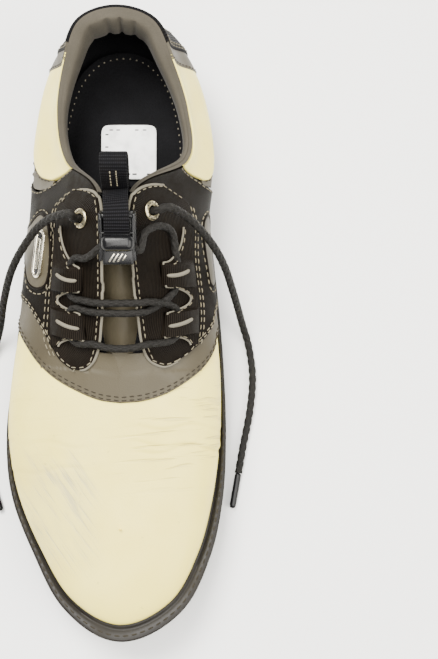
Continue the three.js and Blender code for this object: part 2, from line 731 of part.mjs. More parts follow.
for (const side of ['lateral', 'medial']) {
  const [upper, lower] = SIDES[side].loops;
  addPiece(`lace_loop_upper_${side}`, laceLoop(side, upper), BLACK, 0.6);
  addPiece(`lace_loop_lower_${side}`, laceLoop(side, lower), BLACK, 0.6);
}

// Eyelet rings with a flange on the facing and a barrel through the leather.
for (const side of ['lateral', 'medial']) {
  const [s, t] = SIDES[side].eyelet;
  const ring = turned([[2.35, -1.8], [2.75, -1.8], [2.75, 1.9], [4.7, 1.9], [4.4, 2.5], [2.5, 2.7]], 12);
  addPiece(`eyelet_${side}`, standOn(ring, sideStation(side, s), t), STEEL, 0.3, 1);
}

// Hidden stiffeners and the lining --------------------------------------------------------------

const STIFFENER_OUT = -LEATHER - GAP;
const STIFFENER_IN = STIFFENER_OUT - 0.7;
const LINING_OUT = STIFFENER_IN - GAP;
const LINING_IN = LINING_OUT - 1.2;
const PUFF_PLAY = 0.15;            // the toe puff is thinner than the counter by this on each face
const PAD = 3;                     // extra depth of the padded collar

// The lining's columns and rows; the pieces that touch it share them, so that they curve alike.
const LINING_STEP = 14 / 32;
const riseRow = (row) => LOW + (1 - LOW) * row / 6;

addPiece(
  'toe_puff',
  leather([band(10, 14, 0.08, 0.8, 14, 6)], STIFFENER_OUT - PUFF_PLAY, STIFFENER_IN + PUFF_PLAY),
  STIFFENER,
  0.9,
);
addPiece(
  'heel_counter',
  leather([band(-7 * LINING_STEP, 7 * LINING_STEP, 0.04, 0.5, 14, 3)], STIFFENER_OUT, STIFFENER_IN),
  STIFFENER,
  0.9,
);

const padAt = (s, t) => {
  const side = Math.min(wrap(s), 24 - wrap(s));
  const ends = 1 - THREE.MathUtils.smoothstep(side, 3.4, 4.3);
  return PAD * ends * THREE.MathUtils.smoothstep(t, 0.5, 0.75) * (1 - THREE.MathUtils.smoothstep(t, 0.8, 1));
};
const foamAt = (s, t) => Math.max(0, padAt(s, t) - 0.25);
addPiece('collar_foam', leather(
  [band(-9 * LINING_STEP, 9 * LINING_STEP, riseRow(3), riseRow(5), 18, 2)],
  STIFFENER_OUT,
  (s, t) => STIFFENER_IN - foamAt(s, t),
), FOAM, 0.95);
const collarGrid = fill({
  bottom: [[-7, LOW], [7, LOW]],
  top: [[-7, 0.94], [-5.4, 0.94], [-4.5, 1], [4.5, 1], [5.4, 0.94], [7, 0.94]],
  left: [[-7, LOW], [-7, 0.94]],
  right: [[7, LOW], [7, 0.94]],
}, 32, 6);
addPiece('collar_lining', cut(leather(
  [collarGrid],
  (s, t) => LINING_OUT - padAt(s, t),
  (s, t) => LINING_IN - padAt(s, t),
), eyeletDrill('lateral', 5), eyeletDrill('medial', 5)), LINING, 0.9);
const frontLining = (s0, s1, welded) => band(s0, s1, LOW, 1, 11, 6, welded);
addPiece('vamp_lining', leather(
  [frontLining(7, 12, 'tr'), frontLining(12, 17, 'tl')],
  LINING_OUT,
  LINING_IN,
), LINING, 0.9);

// Topline binding: a ribbed tape over the rim around the heel.
const binding = () => {
  const grid = [];
  for (let i = 0; i <= 20; i += 1) {
    const s = THREE.MathUtils.lerp(-4.1, 4.1, i / 20);
    const outer = over(s, 1, 0);
    const inner = over(s, 1, LINING_IN);
    grid.push([outer, inner].map((p) => ({ s, t: 1, p })));
  }
  const { nodes, faces } = joinGrids([grid]);
  const raise = (height) => nodes.map(({ p }) => p.clone().setZ(p.z + height));
  return closeSheets(raise(2.2), raise(1.2), faces);
};
addPiece('topline_binding', binding(), WEBBING, 0.8);

// Tongue ----------------------------------------------------------------------------------------------------

const wingRises = (wing) => [0, 0.35, 0.7, 1].map((u) => wing + (1 - wing) * u);

// Cross-sections from the lateral to the medial wing; the wings lie behind the facings.
function tongueGrid(height, from, to, rows, wing, lift = 0) {
  const grid = [];
  for (let i = 0; i <= rows; i += 1) {
    const s = THREE.MathUtils.lerp(from, to, i / rows);
    const beyond = Math.max(0, 5 - s);
    const base = Math.max(5, s);
    const rises = wingRises(wing + (0.88 - wing) * Math.min(1, beyond / 0.45));
    const shift = new THREE.Vector3(0, 26 * beyond, 13 * beyond + lift);
    const left = rises.map((t) => over(base, t, height).add(shift));
    const right = rises.map((t) => over(24 - base, t, height).add(shift)).reverse();
    const middle = left[3].clone().lerp(right[0], 0.5);
    middle.z += 0.06 * left[3].distanceTo(right[0]);
    const line = new THREE.CatmullRomCurve3([...left.slice(0, 3), middle, ...right.slice(1)]);
    const column = Array.from({ length: 9 }, (_, k) => ({ s, t: 0, p: line.getPointAt(k / 8) }));
    grid.push(column);
  }
  return grid;
}

const TONGUE_OUT = -10;
const tongueLayer = (out, inner, from, to, rows, wing) => {
  const front = joinGrids([tongueGrid(out, from, to, rows, wing)]);
  const back = joinGrids([tongueGrid(inner, from, to, rows, wing)]);
  return closeSheets(front.nodes.map(({ p }) => p), back.nodes.map(({ p }) => p), front.faces);
};
addPiece('tongue', tongueLayer(TONGUE_OUT, TONGUE_OUT - 1.3, 4.86, 7.15, 9, 0.66), TAUPE, 0.6);
addPiece('tongue_pad', tongueLayer(TONGUE_OUT - 1.7, TONGUE_OUT - 4.6, 4.86, 6.9, 8, 0.68), LINING, 0.95);

// The binding over the tongue's top edge: the same cross-sections with a plain depth below them.
const BINDING_DEPTH = 4;
const tongueBinding = () => {
  const { nodes, faces } = joinGrids([tongueGrid(TONGUE_OUT, 4.55, 4.82, 2, 0.68)]);
  const front = nodes.map(({ p }) => p);
  const back = front.map((p) => p.clone().setZ(p.z - BINDING_DEPTH));
  return closeSheets(front, back, faces);
};
addPiece('tongue_binding', tongueBinding(), WEBBING, 0.85);

// Pull loop of webbing, standing on the tongue's top --------------------------------------------

const LOOP_WIDTH = 12.5;
const ribbon = (outline, inside) => {
  const shape = new THREE.Shape(outline.map(([y, z]) => new THREE.Vector2(y, z)));
  shape.holes.push(new THREE.Path(inside.map(([y, z]) => new THREE.Vector2(y, z))));
  return new THREE.ExtrudeGeometry(shape, { depth: LOOP_WIDTH, bevelEnabled: false })
    .rotateY(Math.PI / 2)
    .rotateX(Math.PI / 2);
};
const LOOP_OUTLINE = [
  [0, 0], [11, 4.8], [15.5, 9], [17, 15], [15, 19.5], [11, 20.5], [7, 18], [3.4, 11],
];
const LOOP_INSIDE = [
  [3.4, 3.1], [5, 10.2], [8.2, 16.6], [11, 18.8], [14, 18], [15.4, 15], [14.1, 9.8], [10.2, 6.2],
];
const PULL_LOOP_PLACE = [-4.6, 48.6, 90.4];
const pullLoop = ribbon(LOOP_OUTLINE, LOOP_INSIDE).translate(...PULL_LOOP_PLACE);
addPiece('pull_loop', pullLoop, WEBBING, 0.85);

// Lace keeper: a frame that both lace ends run through, with a roller ---------------------------

const KEEPER_TILT = 0.42;          // rad, the slope of the tongue there
const KEEPER_PLACE = [3, 29, 95.8];

function keeperPlace(geometry) {
  return geometry.rotateX(KEEPER_TILT).translate(...KEEPER_PLACE);
}

const KEEPER_HALF = [8.4, 11];
const KEEPER_PLATE = { thickness: 1.4, z: -3 };
const KEEPER_WALL = { thickness: 1.3, height: 9.4, z: 1 };
const KEEPER_BRIDGE = { length: 7, thickness: 1.8, z: 3.9 };
const KEEPER_BAR = { length: 2, thickness: 1.8, z: 4.8 };
const LACE_WINDOW = { length: 8.4, height: 5.2, y: -5.8, z: 0.35 };  // lets the laces out sideways
const ROLLER_PLACE = [0, 2, 4.2];
const AXLE_RADIUS = 0.5;
const AXLE_LENGTH = 14.8;
const AXLE_PLAY = 0.4;
const BARREL_RADIUS = 1.3;
const BARREL_LENGTH = 11.6;

const keeperFrame = () => {
  const [halfX, halfY] = KEEPER_HALF;
  const block = ({ thickness, z }, length, y) =>
    new THREE.BoxGeometry(2 * halfX, length, thickness).translate(0, y, z);
  const plate = block(KEEPER_PLATE, 2 * halfY, 0);
  const walls = [-1, 1].map((sign) =>
    new THREE.BoxGeometry(KEEPER_WALL.thickness, 2 * halfY, KEEPER_WALL.height)
      .translate(sign * (halfX - KEEPER_WALL.thickness / 2), 0, KEEPER_WALL.z));
  const bridge = block(KEEPER_BRIDGE, KEEPER_BRIDGE.length, KEEPER_BRIDGE.length / 2 - halfY);
  const bar = block(KEEPER_BAR, KEEPER_BAR.length, halfY - KEEPER_BAR.length / 2);
  const windows = new THREE.BoxGeometry(4 * halfX, LACE_WINDOW.length, LACE_WINDOW.height)
    .translate(0, LACE_WINDOW.y, LACE_WINDOW.z);
  const axleHole = rod(AXLE_RADIUS + AXLE_PLAY, AXLE_LENGTH + 0.6, 12)
    .rotateY(Math.PI / 2)
    .translate(...ROLLER_PLACE);
  return keeperPlace(cut(join(plate, ...walls, bridge, bar), windows, axleHole));
};
addPiece('lace_keeper', keeperFrame(), PLASTIC, 0.35);

const rollerGeometry = () => {
  const across = (radius, length, sides) =>
    new THREE.CylinderGeometry(radius, radius, length, sides).rotateZ(Math.PI / 2);
  const barrel = across(BARREL_RADIUS, BARREL_LENGTH, 10);
  const axle = across(AXLE_RADIUS, AXLE_LENGTH, 8);
  return keeperPlace(join(barrel, axle).translate(...ROLLER_PLACE));
};
addPiece('keeper_roller', rollerGeometry(), PLASTIC, 0.2);

// Lace ------------------------------------------------------------------------------------------

// Places on the keeper's centre plane, in its own tilted frame.
const inKeeper = (x, y, z) => new THREE.Vector3(x, y, z)
  .applyAxisAngle(new THREE.Vector3(1, 0, 0), KEEPER_TILT)
  .add(new THREE.Vector3(...KEEPER_PLACE));
const on = (side, s, t, height = LACE_OVER) => over(sideStation(side, s), t, height);
const at = (x, y, z) => new THREE.Vector3(x, y, z);

const lacePoints = [
  // lateral eyelet, then behind the facing and up into the keeper
  on('lateral', 5.15, 0.82, 3.2),
  on('lateral', 5.15, 0.82, -3.6),
  on('lateral', 5.12, 0.88, LACE_UNDER),
  on('lateral', 5.05, 0.96, LACE_UNDER - 0.3),
  at(-1, 45.4, 91),
  at(-0.8, 45, 96.5),
  inKeeper(-2.8, 12.4, 0.4),
  inKeeper(-3.8, 6, 0.2),
  inKeeper(-4.2, -1, 0.2),
  inKeeper(-9.8, -6.8, 0.4),
  // out over the lateral facing, down through the upper loop
  on('lateral', 5.5, 0.9, LACE_OVER + 1.2),
  on('lateral', 5.5, 0.79),
  on('lateral', 5.68, 0.735),
  on('lateral', 5.86, 0.78),
  // across the throat
  on('lateral', 5.86, 0.9, LACE_OVER + 1),
  on('lateral', 5.87, 1, LACE_OVER + 2),
  at(3, 3.5, 84),
  on('medial', 5.95, 1, LACE_OVER + 2),
  on('medial', 5.95, 0.86, LACE_OVER + 1),
  on('medial', 5.97, 0.7),
  // down through the lower medial loop, straight across, up through the lower lateral loop
  on('medial', 6.2, 0.645),
  on('medial', 6.44, 0.7),
  on('medial', 6.42, 0.88, LACE_OVER + 0.8),
  at(2.5, -13, 76),
  on('lateral', 6.42, 0.9, LACE_OVER + 0.8),
  on('lateral', 6.48, 0.78),
  on('lateral', 6.22, 0.735),
  on('lateral', 5.96, 0.78),
  on('lateral', 5.97, 0.9, LACE_OVER + 1),
  on('lateral', 5.93, 1, LACE_OVER + 1.6),
  at(3, 1.5, 79.2),
  on('medial', 5.83, 1, LACE_OVER + 1.6),
  on('medial', 5.82, 0.86, LACE_OVER + 1),
  on('medial', 5.8, 0.7),
  on('medial', 5.62, 0.645),
  // out of the upper medial loop, a loose bend over the facing, and into the keeper
  on('medial', 5.42, 0.65),
  on('medial', 5.22, 0.68, LACE_OVER + 1),
  on('medial', 5.2, 0.78, LACE_OVER + 1.8),
  on('medial', 5.3, 0.92, LACE_OVER + 2.4),
  inKeeper(9.8, -6.8, 0.4),
  inKeeper(4.2, -1, 0.2),
  inKeeper(3.8, 6, 0.2),
  inKeeper(2.6, 12.4, 0.4),
  at(4.6, 45, 96.5),
  at(4.8, 45.4, 91),
  on('medial', 4.97, 0.95, LACE_UNDER),
  on('medial', 5.02, 0.87, LACE_UNDER),
  on('medial', 5.05, 0.81, -3.6),
  on('medial', 5.05, 0.81, 3.2),
];
addPiece('lace', tube(lacePoints, LACE_RADIUS, 60), LACE, 0.85);

const END_RADIUS = 2;
const lateralEnd = [
  on('lateral', 5.15, 0.82, 5.6),
  at(-19, 40, 92),
  at(-29, 40.5, 82),
  at(-37, 38, 72),
  at(-45, 31, 62),
  at(-52.5, 22, 50),
  at(-59.5, 10, 30),
  at(-65, -3, 10),
  at(-70, -16, 2.6),
  at(-75, -32, 2.3),
  at(-76, -50, 2.3),
  at(-73, -66, 2.3),
  at(-69, -78, 2.3),
];
const medialEnd = [
  on('medial', 5.05, 0.81, 5.6),
  at(25, 44, 89),
  at(32, 42.5, 82),
  at(39, 38, 74),
  at(46.5, 31, 62),
  at(51.5, 24, 50),
  at(56.5, 13, 30),
  at(61, 1, 10),
  at(64.5, -10, 2.6),
  at(66.5, -26, 2.3),
  at(65, -44, 2.3),
  at(61.5, -62, 2.3),
  at(59, -76, 2.3),
];
const AGLET_LENGTH = 18;
const AGLET_RADIUS = 1.7;

const AGLET_GAP = 0.3;

function addEnd(side, points) {
  addPiece(`lace_end_${side}`, tube(points, END_RADIUS, 22), LACE, 0.85);
  const [before, tip] = points.slice(-2);
  const direction = tip.clone().sub(before).normalize();
  const turn = new THREE.Quaternion().setFromUnitVectors(new THREE.Vector3(0, 0, 1), direction);
  const middle = tip.clone().addScaledVector(direction, AGLET_GAP + AGLET_LENGTH / 2);
  const aglet = rod(AGLET_RADIUS, AGLET_LENGTH, 10)
    .applyQuaternion(turn)
    .translate(middle.x, middle.y, middle.z);
  addPiece(`aglet_${side}`, aglet, PLASTIC, 0.3);
}

addEnd('lateral', lateralEnd);
addEnd('medial', medialEnd);

export default part;
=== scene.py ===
"""Golf shoe for a right foot, laced, with its two lace ends lying free on the ground.

The upper is a set of leather, webbing and textile pieces laid over one smooth last. Every shape is a
function of two parameters worked out as whole numpy arrays, in millimetres, and put in the model's
own frame (metres) when its mesh is made.
"""

import logging
from collections.abc import Callable, Sequence
from dataclasses import dataclass, field, replace
from enum import Enum
from functools import partial
from typing import ClassVar

import bmesh
import bpy
import numpy as np
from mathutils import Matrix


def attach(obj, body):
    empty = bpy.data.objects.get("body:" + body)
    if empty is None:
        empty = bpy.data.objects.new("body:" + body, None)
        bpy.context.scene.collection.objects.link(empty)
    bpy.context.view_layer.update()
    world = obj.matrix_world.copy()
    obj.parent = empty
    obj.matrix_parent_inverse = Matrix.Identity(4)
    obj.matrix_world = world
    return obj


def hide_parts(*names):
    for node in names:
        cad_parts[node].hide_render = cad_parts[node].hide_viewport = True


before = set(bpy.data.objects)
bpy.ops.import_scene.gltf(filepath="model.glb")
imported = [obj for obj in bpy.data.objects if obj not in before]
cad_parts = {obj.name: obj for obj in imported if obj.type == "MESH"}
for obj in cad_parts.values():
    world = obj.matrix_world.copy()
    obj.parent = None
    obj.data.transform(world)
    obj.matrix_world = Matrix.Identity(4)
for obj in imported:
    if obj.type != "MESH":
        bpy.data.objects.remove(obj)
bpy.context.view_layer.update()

LOG = logging.getLogger("golf_shoe")

MM = 0.001
SHIFT = (2.75, 4.15, 0.0)
"""How far, in millimetres, the last's own frame is moved in the model's frame."""

ROUND = 24
"""How many stations go once round the foot."""
BULGE_PEAK = 17.54
"""What brings the bulge's curve, t^1.5 (1 - t)^3, to a peak of 1."""

Array = np.ndarray
Colour = tuple[float, float, float]
Spots = Sequence[tuple[float, float]]


# ---- Sides, slots and bodies ----


class Side(Enum):
    """The two sides of the foot."""

    LATERAL = "lateral"
    MEDIAL = "medial"

    def station(self, s: Array) -> Array:
        """Return the last's station for one given in the lateral side's numbering."""
        return s if self is Side.LATERAL else ROUND - s


class Body(Enum):
    """The rigid bodies that pieces ride on."""

    SHOE = "shoe"
    TONGUE = "tongue"
    PULL_LOOP = "pull_loop"
    ROLLER = "keeper_roller"


# ---- The last ----


@dataclass
class Last:
    """The smooth form that the upper is built on, and the outline of the sole under it.

    A station s runs once round the foot, 0 at the heel centre, 12 at the toe tip. A rise t runs from
    0 at the sole to 1 at the collar, the throat or the ridge over the toes.
    """

    sole_at_ball: float = 20.0
    heel_lift: float = 7.0
    toe_spring: float = 7.0
    cleat_height: float = 6.0
    ridge: tuple[float, float] = (7.0, 17.0)
    stations: Array = field(default_factory=lambda: np.array([
        # foot x, foot y, top x, top y, top z, bulge, roundness, welt width
        [0, 143, 0, 142, 84, 7, 0, 5],
        [-17, 138, -17.5, 137, 81, 7.5, 0, 4.5],
        [-30, 122, -25, 121.5, 74, 8, 0, 4],
        [-37, 97, -29.5, 97, 66, 8, 0, 4],
        [-41, 70, -25, 72, 67, 8.5, 0.05, 4],
        [-44.5, 40, -6, 47, 95, 9, 0.3, 4],
        [-48, 8, -5, -4, 73, 8, 0.6, 4],
        [-52.5, -24, 2, -31, 62.8, 6.5, 0.9, 2.5],
        [-55, -56, 2, -53, 56, 5, 1, 3],
        [-50.5, -86, 2, -74, 50.6, 4, 1, 4.5],
        [-38.5, -114, 1.5, -92, 46.7, 3.5, 1, 5],
        [-22.5, -138, 1, -101, 45, 3.5, 1, 6.5],
        [1, -149.5, 1, -104, 44.5, 4, 1, 8.5],
        [25, -139, 1, -101, 45, 3.5, 1, 7.5],
        [38.5, -115.5, 1.5, -92, 46.7, 3.5, 1, 6.5],
        [45.5, -88, 2, -74, 50.6, 4, 1, 5.5],
        [48.5, -58, 2, -53, 56, 5, 1, 4],
        [48, -26, 2, -31, 62.8, 6.5, 0.9, 3.5],
        [45, 6, 10, -4, 73, 8, 0.6, 4],
        [41.5, 38, 9, 47, 95, 9, 0.3, 4],
        [38.5, 69, 34, 72, 67, 8.5, 0.05, 4],
        [37, 97, 34, 97, 66, 8, 0, 4],
        [30, 122, 26, 121.5, 74, 8, 0, 4],
        [17, 138, 17.5, 137, 81, 7.5, 0, 4.5],
    ], dtype=float))

    def row(self, s: Array) -> Array:
        """Blend the station rows with a uniform Catmull-Rom spline.

        Args:
            s: Stations, any shape.

        Returns:
            An array of that shape with the eight columns of a station row added.
        """
        whole = np.floor(s).astype(int)
        u = (s - whole)[..., None]
        a, b, c, d = (self.stations[(whole + k) % ROUND] for k in (-1, 0, 1, 2))
        return 0.5 * (2 * b + (c - a) * u + (2 * a - 5 * b + 4 * c - d) * u**2
                      + (3 * b - a - 3 * c + d) * u**3)

    def outward(self, s: Array) -> Array:
        """Return the horizontal unit direction that points away from the foot at each station."""
        step = 1e-3
        ahead = (self.row(s + step) - self.row(s - step))[..., :2]
        ahead /= np.linalg.norm(ahead, axis=-1, keepdims=True)
        return np.stack([ahead[..., 1], -ahead[..., 0]], axis=-1)

    def sole_top(self, y: Array) -> Array:
        """Height of the upper's lower edge: a smooth step up to the heel and a parabola at the toe."""
        toe = np.maximum(0, (-y - 85) / 61)
        return self.sole_at_ball + self.heel_lift * smoothstep(y, -20, 110) + self.toe_spring * toe**2

    def sole_bottom(self, y: Array) -> Array:
        """Height of the tread's underside: level, raised at the waist and curving up at the toe."""
        waist = smoothstep(y, 0, 25) * (1 - smoothstep(y, 50, 72))
        toe = np.maximum(0, (-y - 108) / 50)
        return self.cleat_height + 2 * waist + 8 * toe**2

    def point(self, s: Array, t: Array) -> Array:
        """Return points of the last.

        A straight wall and a quarter ellipse are mixed by the roundness, the bulge pushes the wall out
        below its middle, and a last term keeps the surface level across the ridge over the toes.
        """
        s, t = np.broadcast_arrays(s, t)
        foot_x, foot_y, top_x, top_y, top_z, bulge, roundness, _ = np.moveaxis(self.row(s), -1, 0)
        k = np.clip(roundness, 0, 1)
        quarter = t * np.pi / 2
        across = t * (1 - k) + k * (1 - np.cos(quarter))
        up = t * (1 - k) + k * np.sin(quarter)
        push = bulge * BULGE_PEAK * np.maximum(t, 0) ** 1.5 * np.maximum(1 - t, 0) ** 3
        out = self.outward(s)
        around = s % ROUND
        ridge = (around >= self.ridge[0]) & (around <= self.ridge[1])
        end_x = np.where(ridge, np.minimum(2, 1 + np.abs(around - 12) / 3), top_x)
        slope = 0.17 + 0.0022 * (top_y + 104)
        level = np.where(ridge, slope * (top_y - foot_y) * np.pi / 2 * t**2 * (t - 1), 0)
        foot_z = self.sole_top(foot_y)
        return np.stack([
            foot_x + (end_x - foot_x) * across + out[..., 0] * push,
            foot_y + (top_y - foot_y) * across + out[..., 1] * push,
            foot_z + (top_z - foot_z) * up + level,
        ], axis=-1)

    def normal(self, s: Array, t: Array) -> Array:
        """Return the last's outward unit normals, by central differences."""
        step = 4e-3
        s, t = np.broadcast_arrays(s, t)
        t0, t1 = np.clip(t - step, 0, 1), np.clip(t + step, 0, 1)
        around = self.point(s + step, t) - self.point(s - step, t)
        rise = self.point(s, t1) - self.point(s, t0)
        return unit(np.cross(around, rise))

    def over(self, s: Array, t: Array, height: Array) -> Array:
        """Return points at a height over the last."""
        s, t = np.broadcast_arrays(s, t)
        height = np.broadcast_to(height, s.shape)
        return self.point(s, t) + self.normal(s, t) * height[..., None]

    def plan(self, s: Array, r: Array, outset: Array) -> Array:
        """Return flat points between the foot's middle line (r 0) and its edge moved out (r 1)."""
        row = self.row(s)
        edge = row[..., :2] + self.outward(s) * np.asarray(outset, float)[..., None]
        around = s % ROUND
        side = np.minimum(around, ROUND - around)
        spine_y = 112 - 224 * smoothstep(side, 0.5, 11.5)
        spine = np.stack([np.zeros_like(spine_y), spine_y], axis=-1)
        flat = spine + (edge - spine) * np.asarray(r, float)[..., None]
        return np.concatenate([flat, np.zeros(flat.shape[:-1] + (1,))], axis=-1)


LAST = Last()


# ---- Lines and profiles ----


def smoothstep(x: Array, low: float, high: float) -> Array:
    """Rise from 0 at low to 1 at high with level ends."""
    u = np.clip((np.asarray(x, float) - low) / (high - low), 0, 1)
    return u * u * (3 - 2 * u)


def unit(vectors: Array) -> Array:
    """Scale vectors to length 1."""
    return vectors / np.maximum(np.linalg.norm(vectors, axis=-1, keepdims=True), 1e-12)


def running_length(points: Array, axis: int = 0) -> Array:
    """Return the length along a line of points, from 0, along one axis of a grid."""
    steps = np.linalg.norm(np.diff(points, axis=axis), axis=-1)
    pad = [(0, 0)] * steps.ndim
    pad[axis] = (1, 0)
    return np.cumsum(np.pad(steps, pad), axis=axis)


def shares(count: int) -> Array:
    """Return even shares from 0 to 1."""
    return np.linspace(0, 1, count)


def lengths(grid: Array) -> Array:
    """Return a grid's map: the running lengths along its rows and columns."""
    return np.stack([running_length(grid, 0), running_length(grid, 1)], axis=-1)


def smooth_line(points: Array, closed: bool = False, samples: int = 24) -> Array:
    """Draw a centripetal Catmull-Rom spline through points.

    Args:
        points: The points it passes, one to a row.
        closed: Whether the line comes back to its first point.
        samples: How many steps each span gets.

    Returns:
        The points of the line.
    """
    p = np.asarray(points, float)
    if closed:
        p = np.vstack([p[-1], p, p[0], p[1]])
    else:
        p = np.vstack([2 * p[0] - p[1], p, 2 * p[-1] - p[-2]])
    u = np.linspace(0, 1, samples, endpoint=False)[:, None]
    spans = []
    for a, b, c, d in zip(p[:-3], p[1:-2], p[2:-1], p[3:]):
        k0, k1, k2 = (max(np.linalg.norm(y - x) ** 0.5, 1e-4) for x, y in ((a, b), (b, c), (c, d)))
        m1 = ((b - a) / k0 - (c - a) / (k0 + k1) + (c - b) / k1) * k1
        m2 = ((c - b) / k1 - (d - b) / (k1 + k2) + (d - c) / k2) * k1
        spans.append(b + m1 * u + (3 * (c - b) - 2 * m1 - m2) * u**2 + (2 * (b - c) + m1 + m2) * u**3)
    return np.vstack([*spans, p[-2][None]])


def resample(points: Array, count: int) -> Array:
    """Return count points spaced evenly along a line."""
    length = running_length(points)
    places = np.linspace(0, length[-1], count)
    return np.stack([np.interp(places, length, column) for column in points.T], axis=-1)


class Rail:
    """A smooth line on the last through (station, rise) spots, measured roughly in millimetres."""

    SCALE = np.array([28.0, 70.0])

    def __init__(self, spots: Spots, closed: bool = False) -> None:
        """Draw the line through its spots."""
        self.line = smooth_line(np.asarray(spots, float) * self.SCALE, closed) / self.SCALE
        length = running_length(self.line * self.SCALE)
        self.share = length / length[-1]

    def at(self, u: Array) -> Array:
        """Return the (station, rise) spots at shares u of the line's length."""
        return np.stack([np.interp(u, self.share, column) for column in self.line.T], axis=-1)


def edge_steps(size: float, count: int, start: bool, end: bool) -> Array:
    """Space the columns of a panel so that its rounded edges get rows of their own.

    Args:
        size: The panel's width there, in millimetres.
        count: How many even steps the middle gets.
        start: Whether the first edge is rounded.
        end: Whether the last edge is rounded.

    Returns:
        Shares from 0 to 1.
    """
    close = np.array([0, 0.08, 0.22, 0.42, 0.7, 1.0]) / size
    first = close if start else np.zeros(1)
    last = 1 - close[::-1] if end else np.ones(1)
    middle = np.linspace(first[-1], last[0], count + 1)[1:-1]
    return np.concatenate([first, middle, last])


# ---- Meshes ----


def grid_faces(rows: int, columns: int, wrap_rows: bool = False, wrap_columns: bool = False) -> Array:
    """Return the four-sided faces of a grid of points numbered row by row."""
    i = np.arange(rows if wrap_rows else rows - 1)[:, None]
    j = np.arange(columns if wrap_columns else columns - 1)[None, :]
    i1, j1 = (i + 1) % rows, (j + 1) % columns
    corners = [i * columns + j, i1 * columns + j, i1 * columns + j1, i * columns + j1]
    return np.stack(np.broadcast_arrays(*corners), axis=-1).reshape(-1, 4)


@dataclass
class Surface:
    """Points and faces of one or more closed surfaces, in the last's frame and in millimetres."""

    points: Array
    faces: Array
    uv: Array | None = None

    def outward(self) -> "Surface":
        """Turn every face if the enclosed volume comes out negative."""
        p = self.points[self.faces]
        volume = sum(np.einsum("ij,ij->i", p[:, 0], np.cross(p[:, k], p[:, k + 1])).sum() for k in (1, 2))
        if volume < 0:
            self.faces = self.faces[:, ::-1]
        return self

    def moved(self, matrix: Array, place: Array) -> "Surface":
        """Return a copy turned by a 3x3 matrix and moved."""
        return Surface(self.points @ np.asarray(matrix).T + np.asarray(place), self.faces, self.uv)


def together(surfaces: Sequence[Surface]) -> Surface:
    """Join surfaces into one list of points and faces."""
    starts = np.cumsum([0] + [len(x.points) for x in surfaces[:-1]])
    uv = None
    if all(x.uv is not None for x in surfaces):
        uv = np.vstack([x.uv for x in surfaces])
    return Surface(
        np.vstack([x.points for x in surfaces]),
        np.vstack([x.faces + start for x, start in zip(surfaces, starts)]),
        uv,
    )


def shell(outer: Array, inner: Array, uv: Array | None = None) -> Surface:
    """Close the space between two grids of the same shape with a strip round their border."""
    rows, columns = outer.shape[:2]
    count = rows * columns
    front = grid_faces(rows, columns)
    number = np.arange(count).reshape(rows, columns)
    border = np.concatenate([number[:, 0], number[-1, 1:], number[-2::-1, -1], number[0, -2:0:-1]])
    after = np.roll(border, -1)
    strip = np.stack([after, border, border + count, after + count], axis=-1)
    points = np.vstack([outer.reshape(-1, 3), inner.reshape(-1, 3)])
    both = None if uv is None else np.vstack([uv.reshape(-1, 2)] * 2)
    return Surface(points, np.vstack([front, front[:, ::-1] + count, strip]), both).outward()


def ring(grid: Array, uv: Array | None = None) -> Surface:
    """Close a grid in both directions, as a doughnut is."""
    rows, columns = grid.shape[:2]
    flat = None if uv is None else uv.reshape(-1, 2)
    return Surface(grid.reshape(-1, 3), grid_faces(rows, columns, True, True), flat).outward()


def capped(rings: Array, uv: Array | None = None) -> Surface:
    """Close a stack of rings, one to a row of the grid, with a fan from the middle of each end."""
    rows, columns = rings.shape[:2]
    near = np.arange(columns)
    after = np.roll(near, -1)
    hubs = [np.full(columns, rows * columns + k) for k in (0, 1)]
    end = (rows - 1) * columns
    fans = [np.stack([near, after, hubs[0], hubs[0]], axis=-1),
            np.stack([after + end, near + end, hubs[1], hubs[1]], axis=-1)]
    points = np.vstack([rings.reshape(-1, 3), rings[0].mean(axis=0), rings[-1].mean(axis=0)])
    flat = None if uv is None else np.vstack([uv.reshape(-1, 2), uv[0, 0], uv[-1, 0]])
    return Surface(points, np.vstack([grid_faces(rows, columns, wrap_columns=True), *fans]), flat).outward()


def wrapped(grid: Array) -> Surface:
    """Close a grid in its first direction; its other two borders have already shrunk to points."""
    return Surface(grid.reshape(-1, 3), grid_faces(*grid.shape[:2], wrap_rows=True)).outward()


def face_normals(grid: Array) -> Array:
    """Return the upward unit normals of a sheet given as a grid of points."""
    normal = unit(np.cross(np.gradient(grid, axis=0), np.gradient(grid, axis=1)))
    return normal * np.sign(normal[..., 2:].mean())


def frames(path: Array, start: Array | None = None) -> tuple[Array, Array, Array]:
    """Return the tangent and two cross directions along a path, turning as little as possible.

    Each step reflects the last frame in the plane between two neighbouring points, and then in the
    plane between their tangents, which is the double reflection method.
    """
    tangent = unit(np.gradient(path, axis=0))
    across = np.zeros_like(path)
    seed = np.array([1.0, 0.2, 0.1]) if start is None else np.asarray(start, float)
    across[0] = unit(seed - tangent[0] * (seed @ tangent[0]))
    for i in range(len(path) - 1):
        v1 = path[i + 1] - path[i]
        c1 = max(v1 @ v1, 1e-12)
        r = across[i] - 2 / c1 * (v1 @ across[i]) * v1
        t = tangent[i] - 2 / c1 * (v1 @ tangent[i]) * v1
        v2 = tangent[i + 1] - t
        c2 = max(v2 @ v2, 1e-12)
        across[i + 1] = unit(r - 2 / c2 * (v2 @ r) * v2)
    return tangent, across, np.cross(tangent, across)


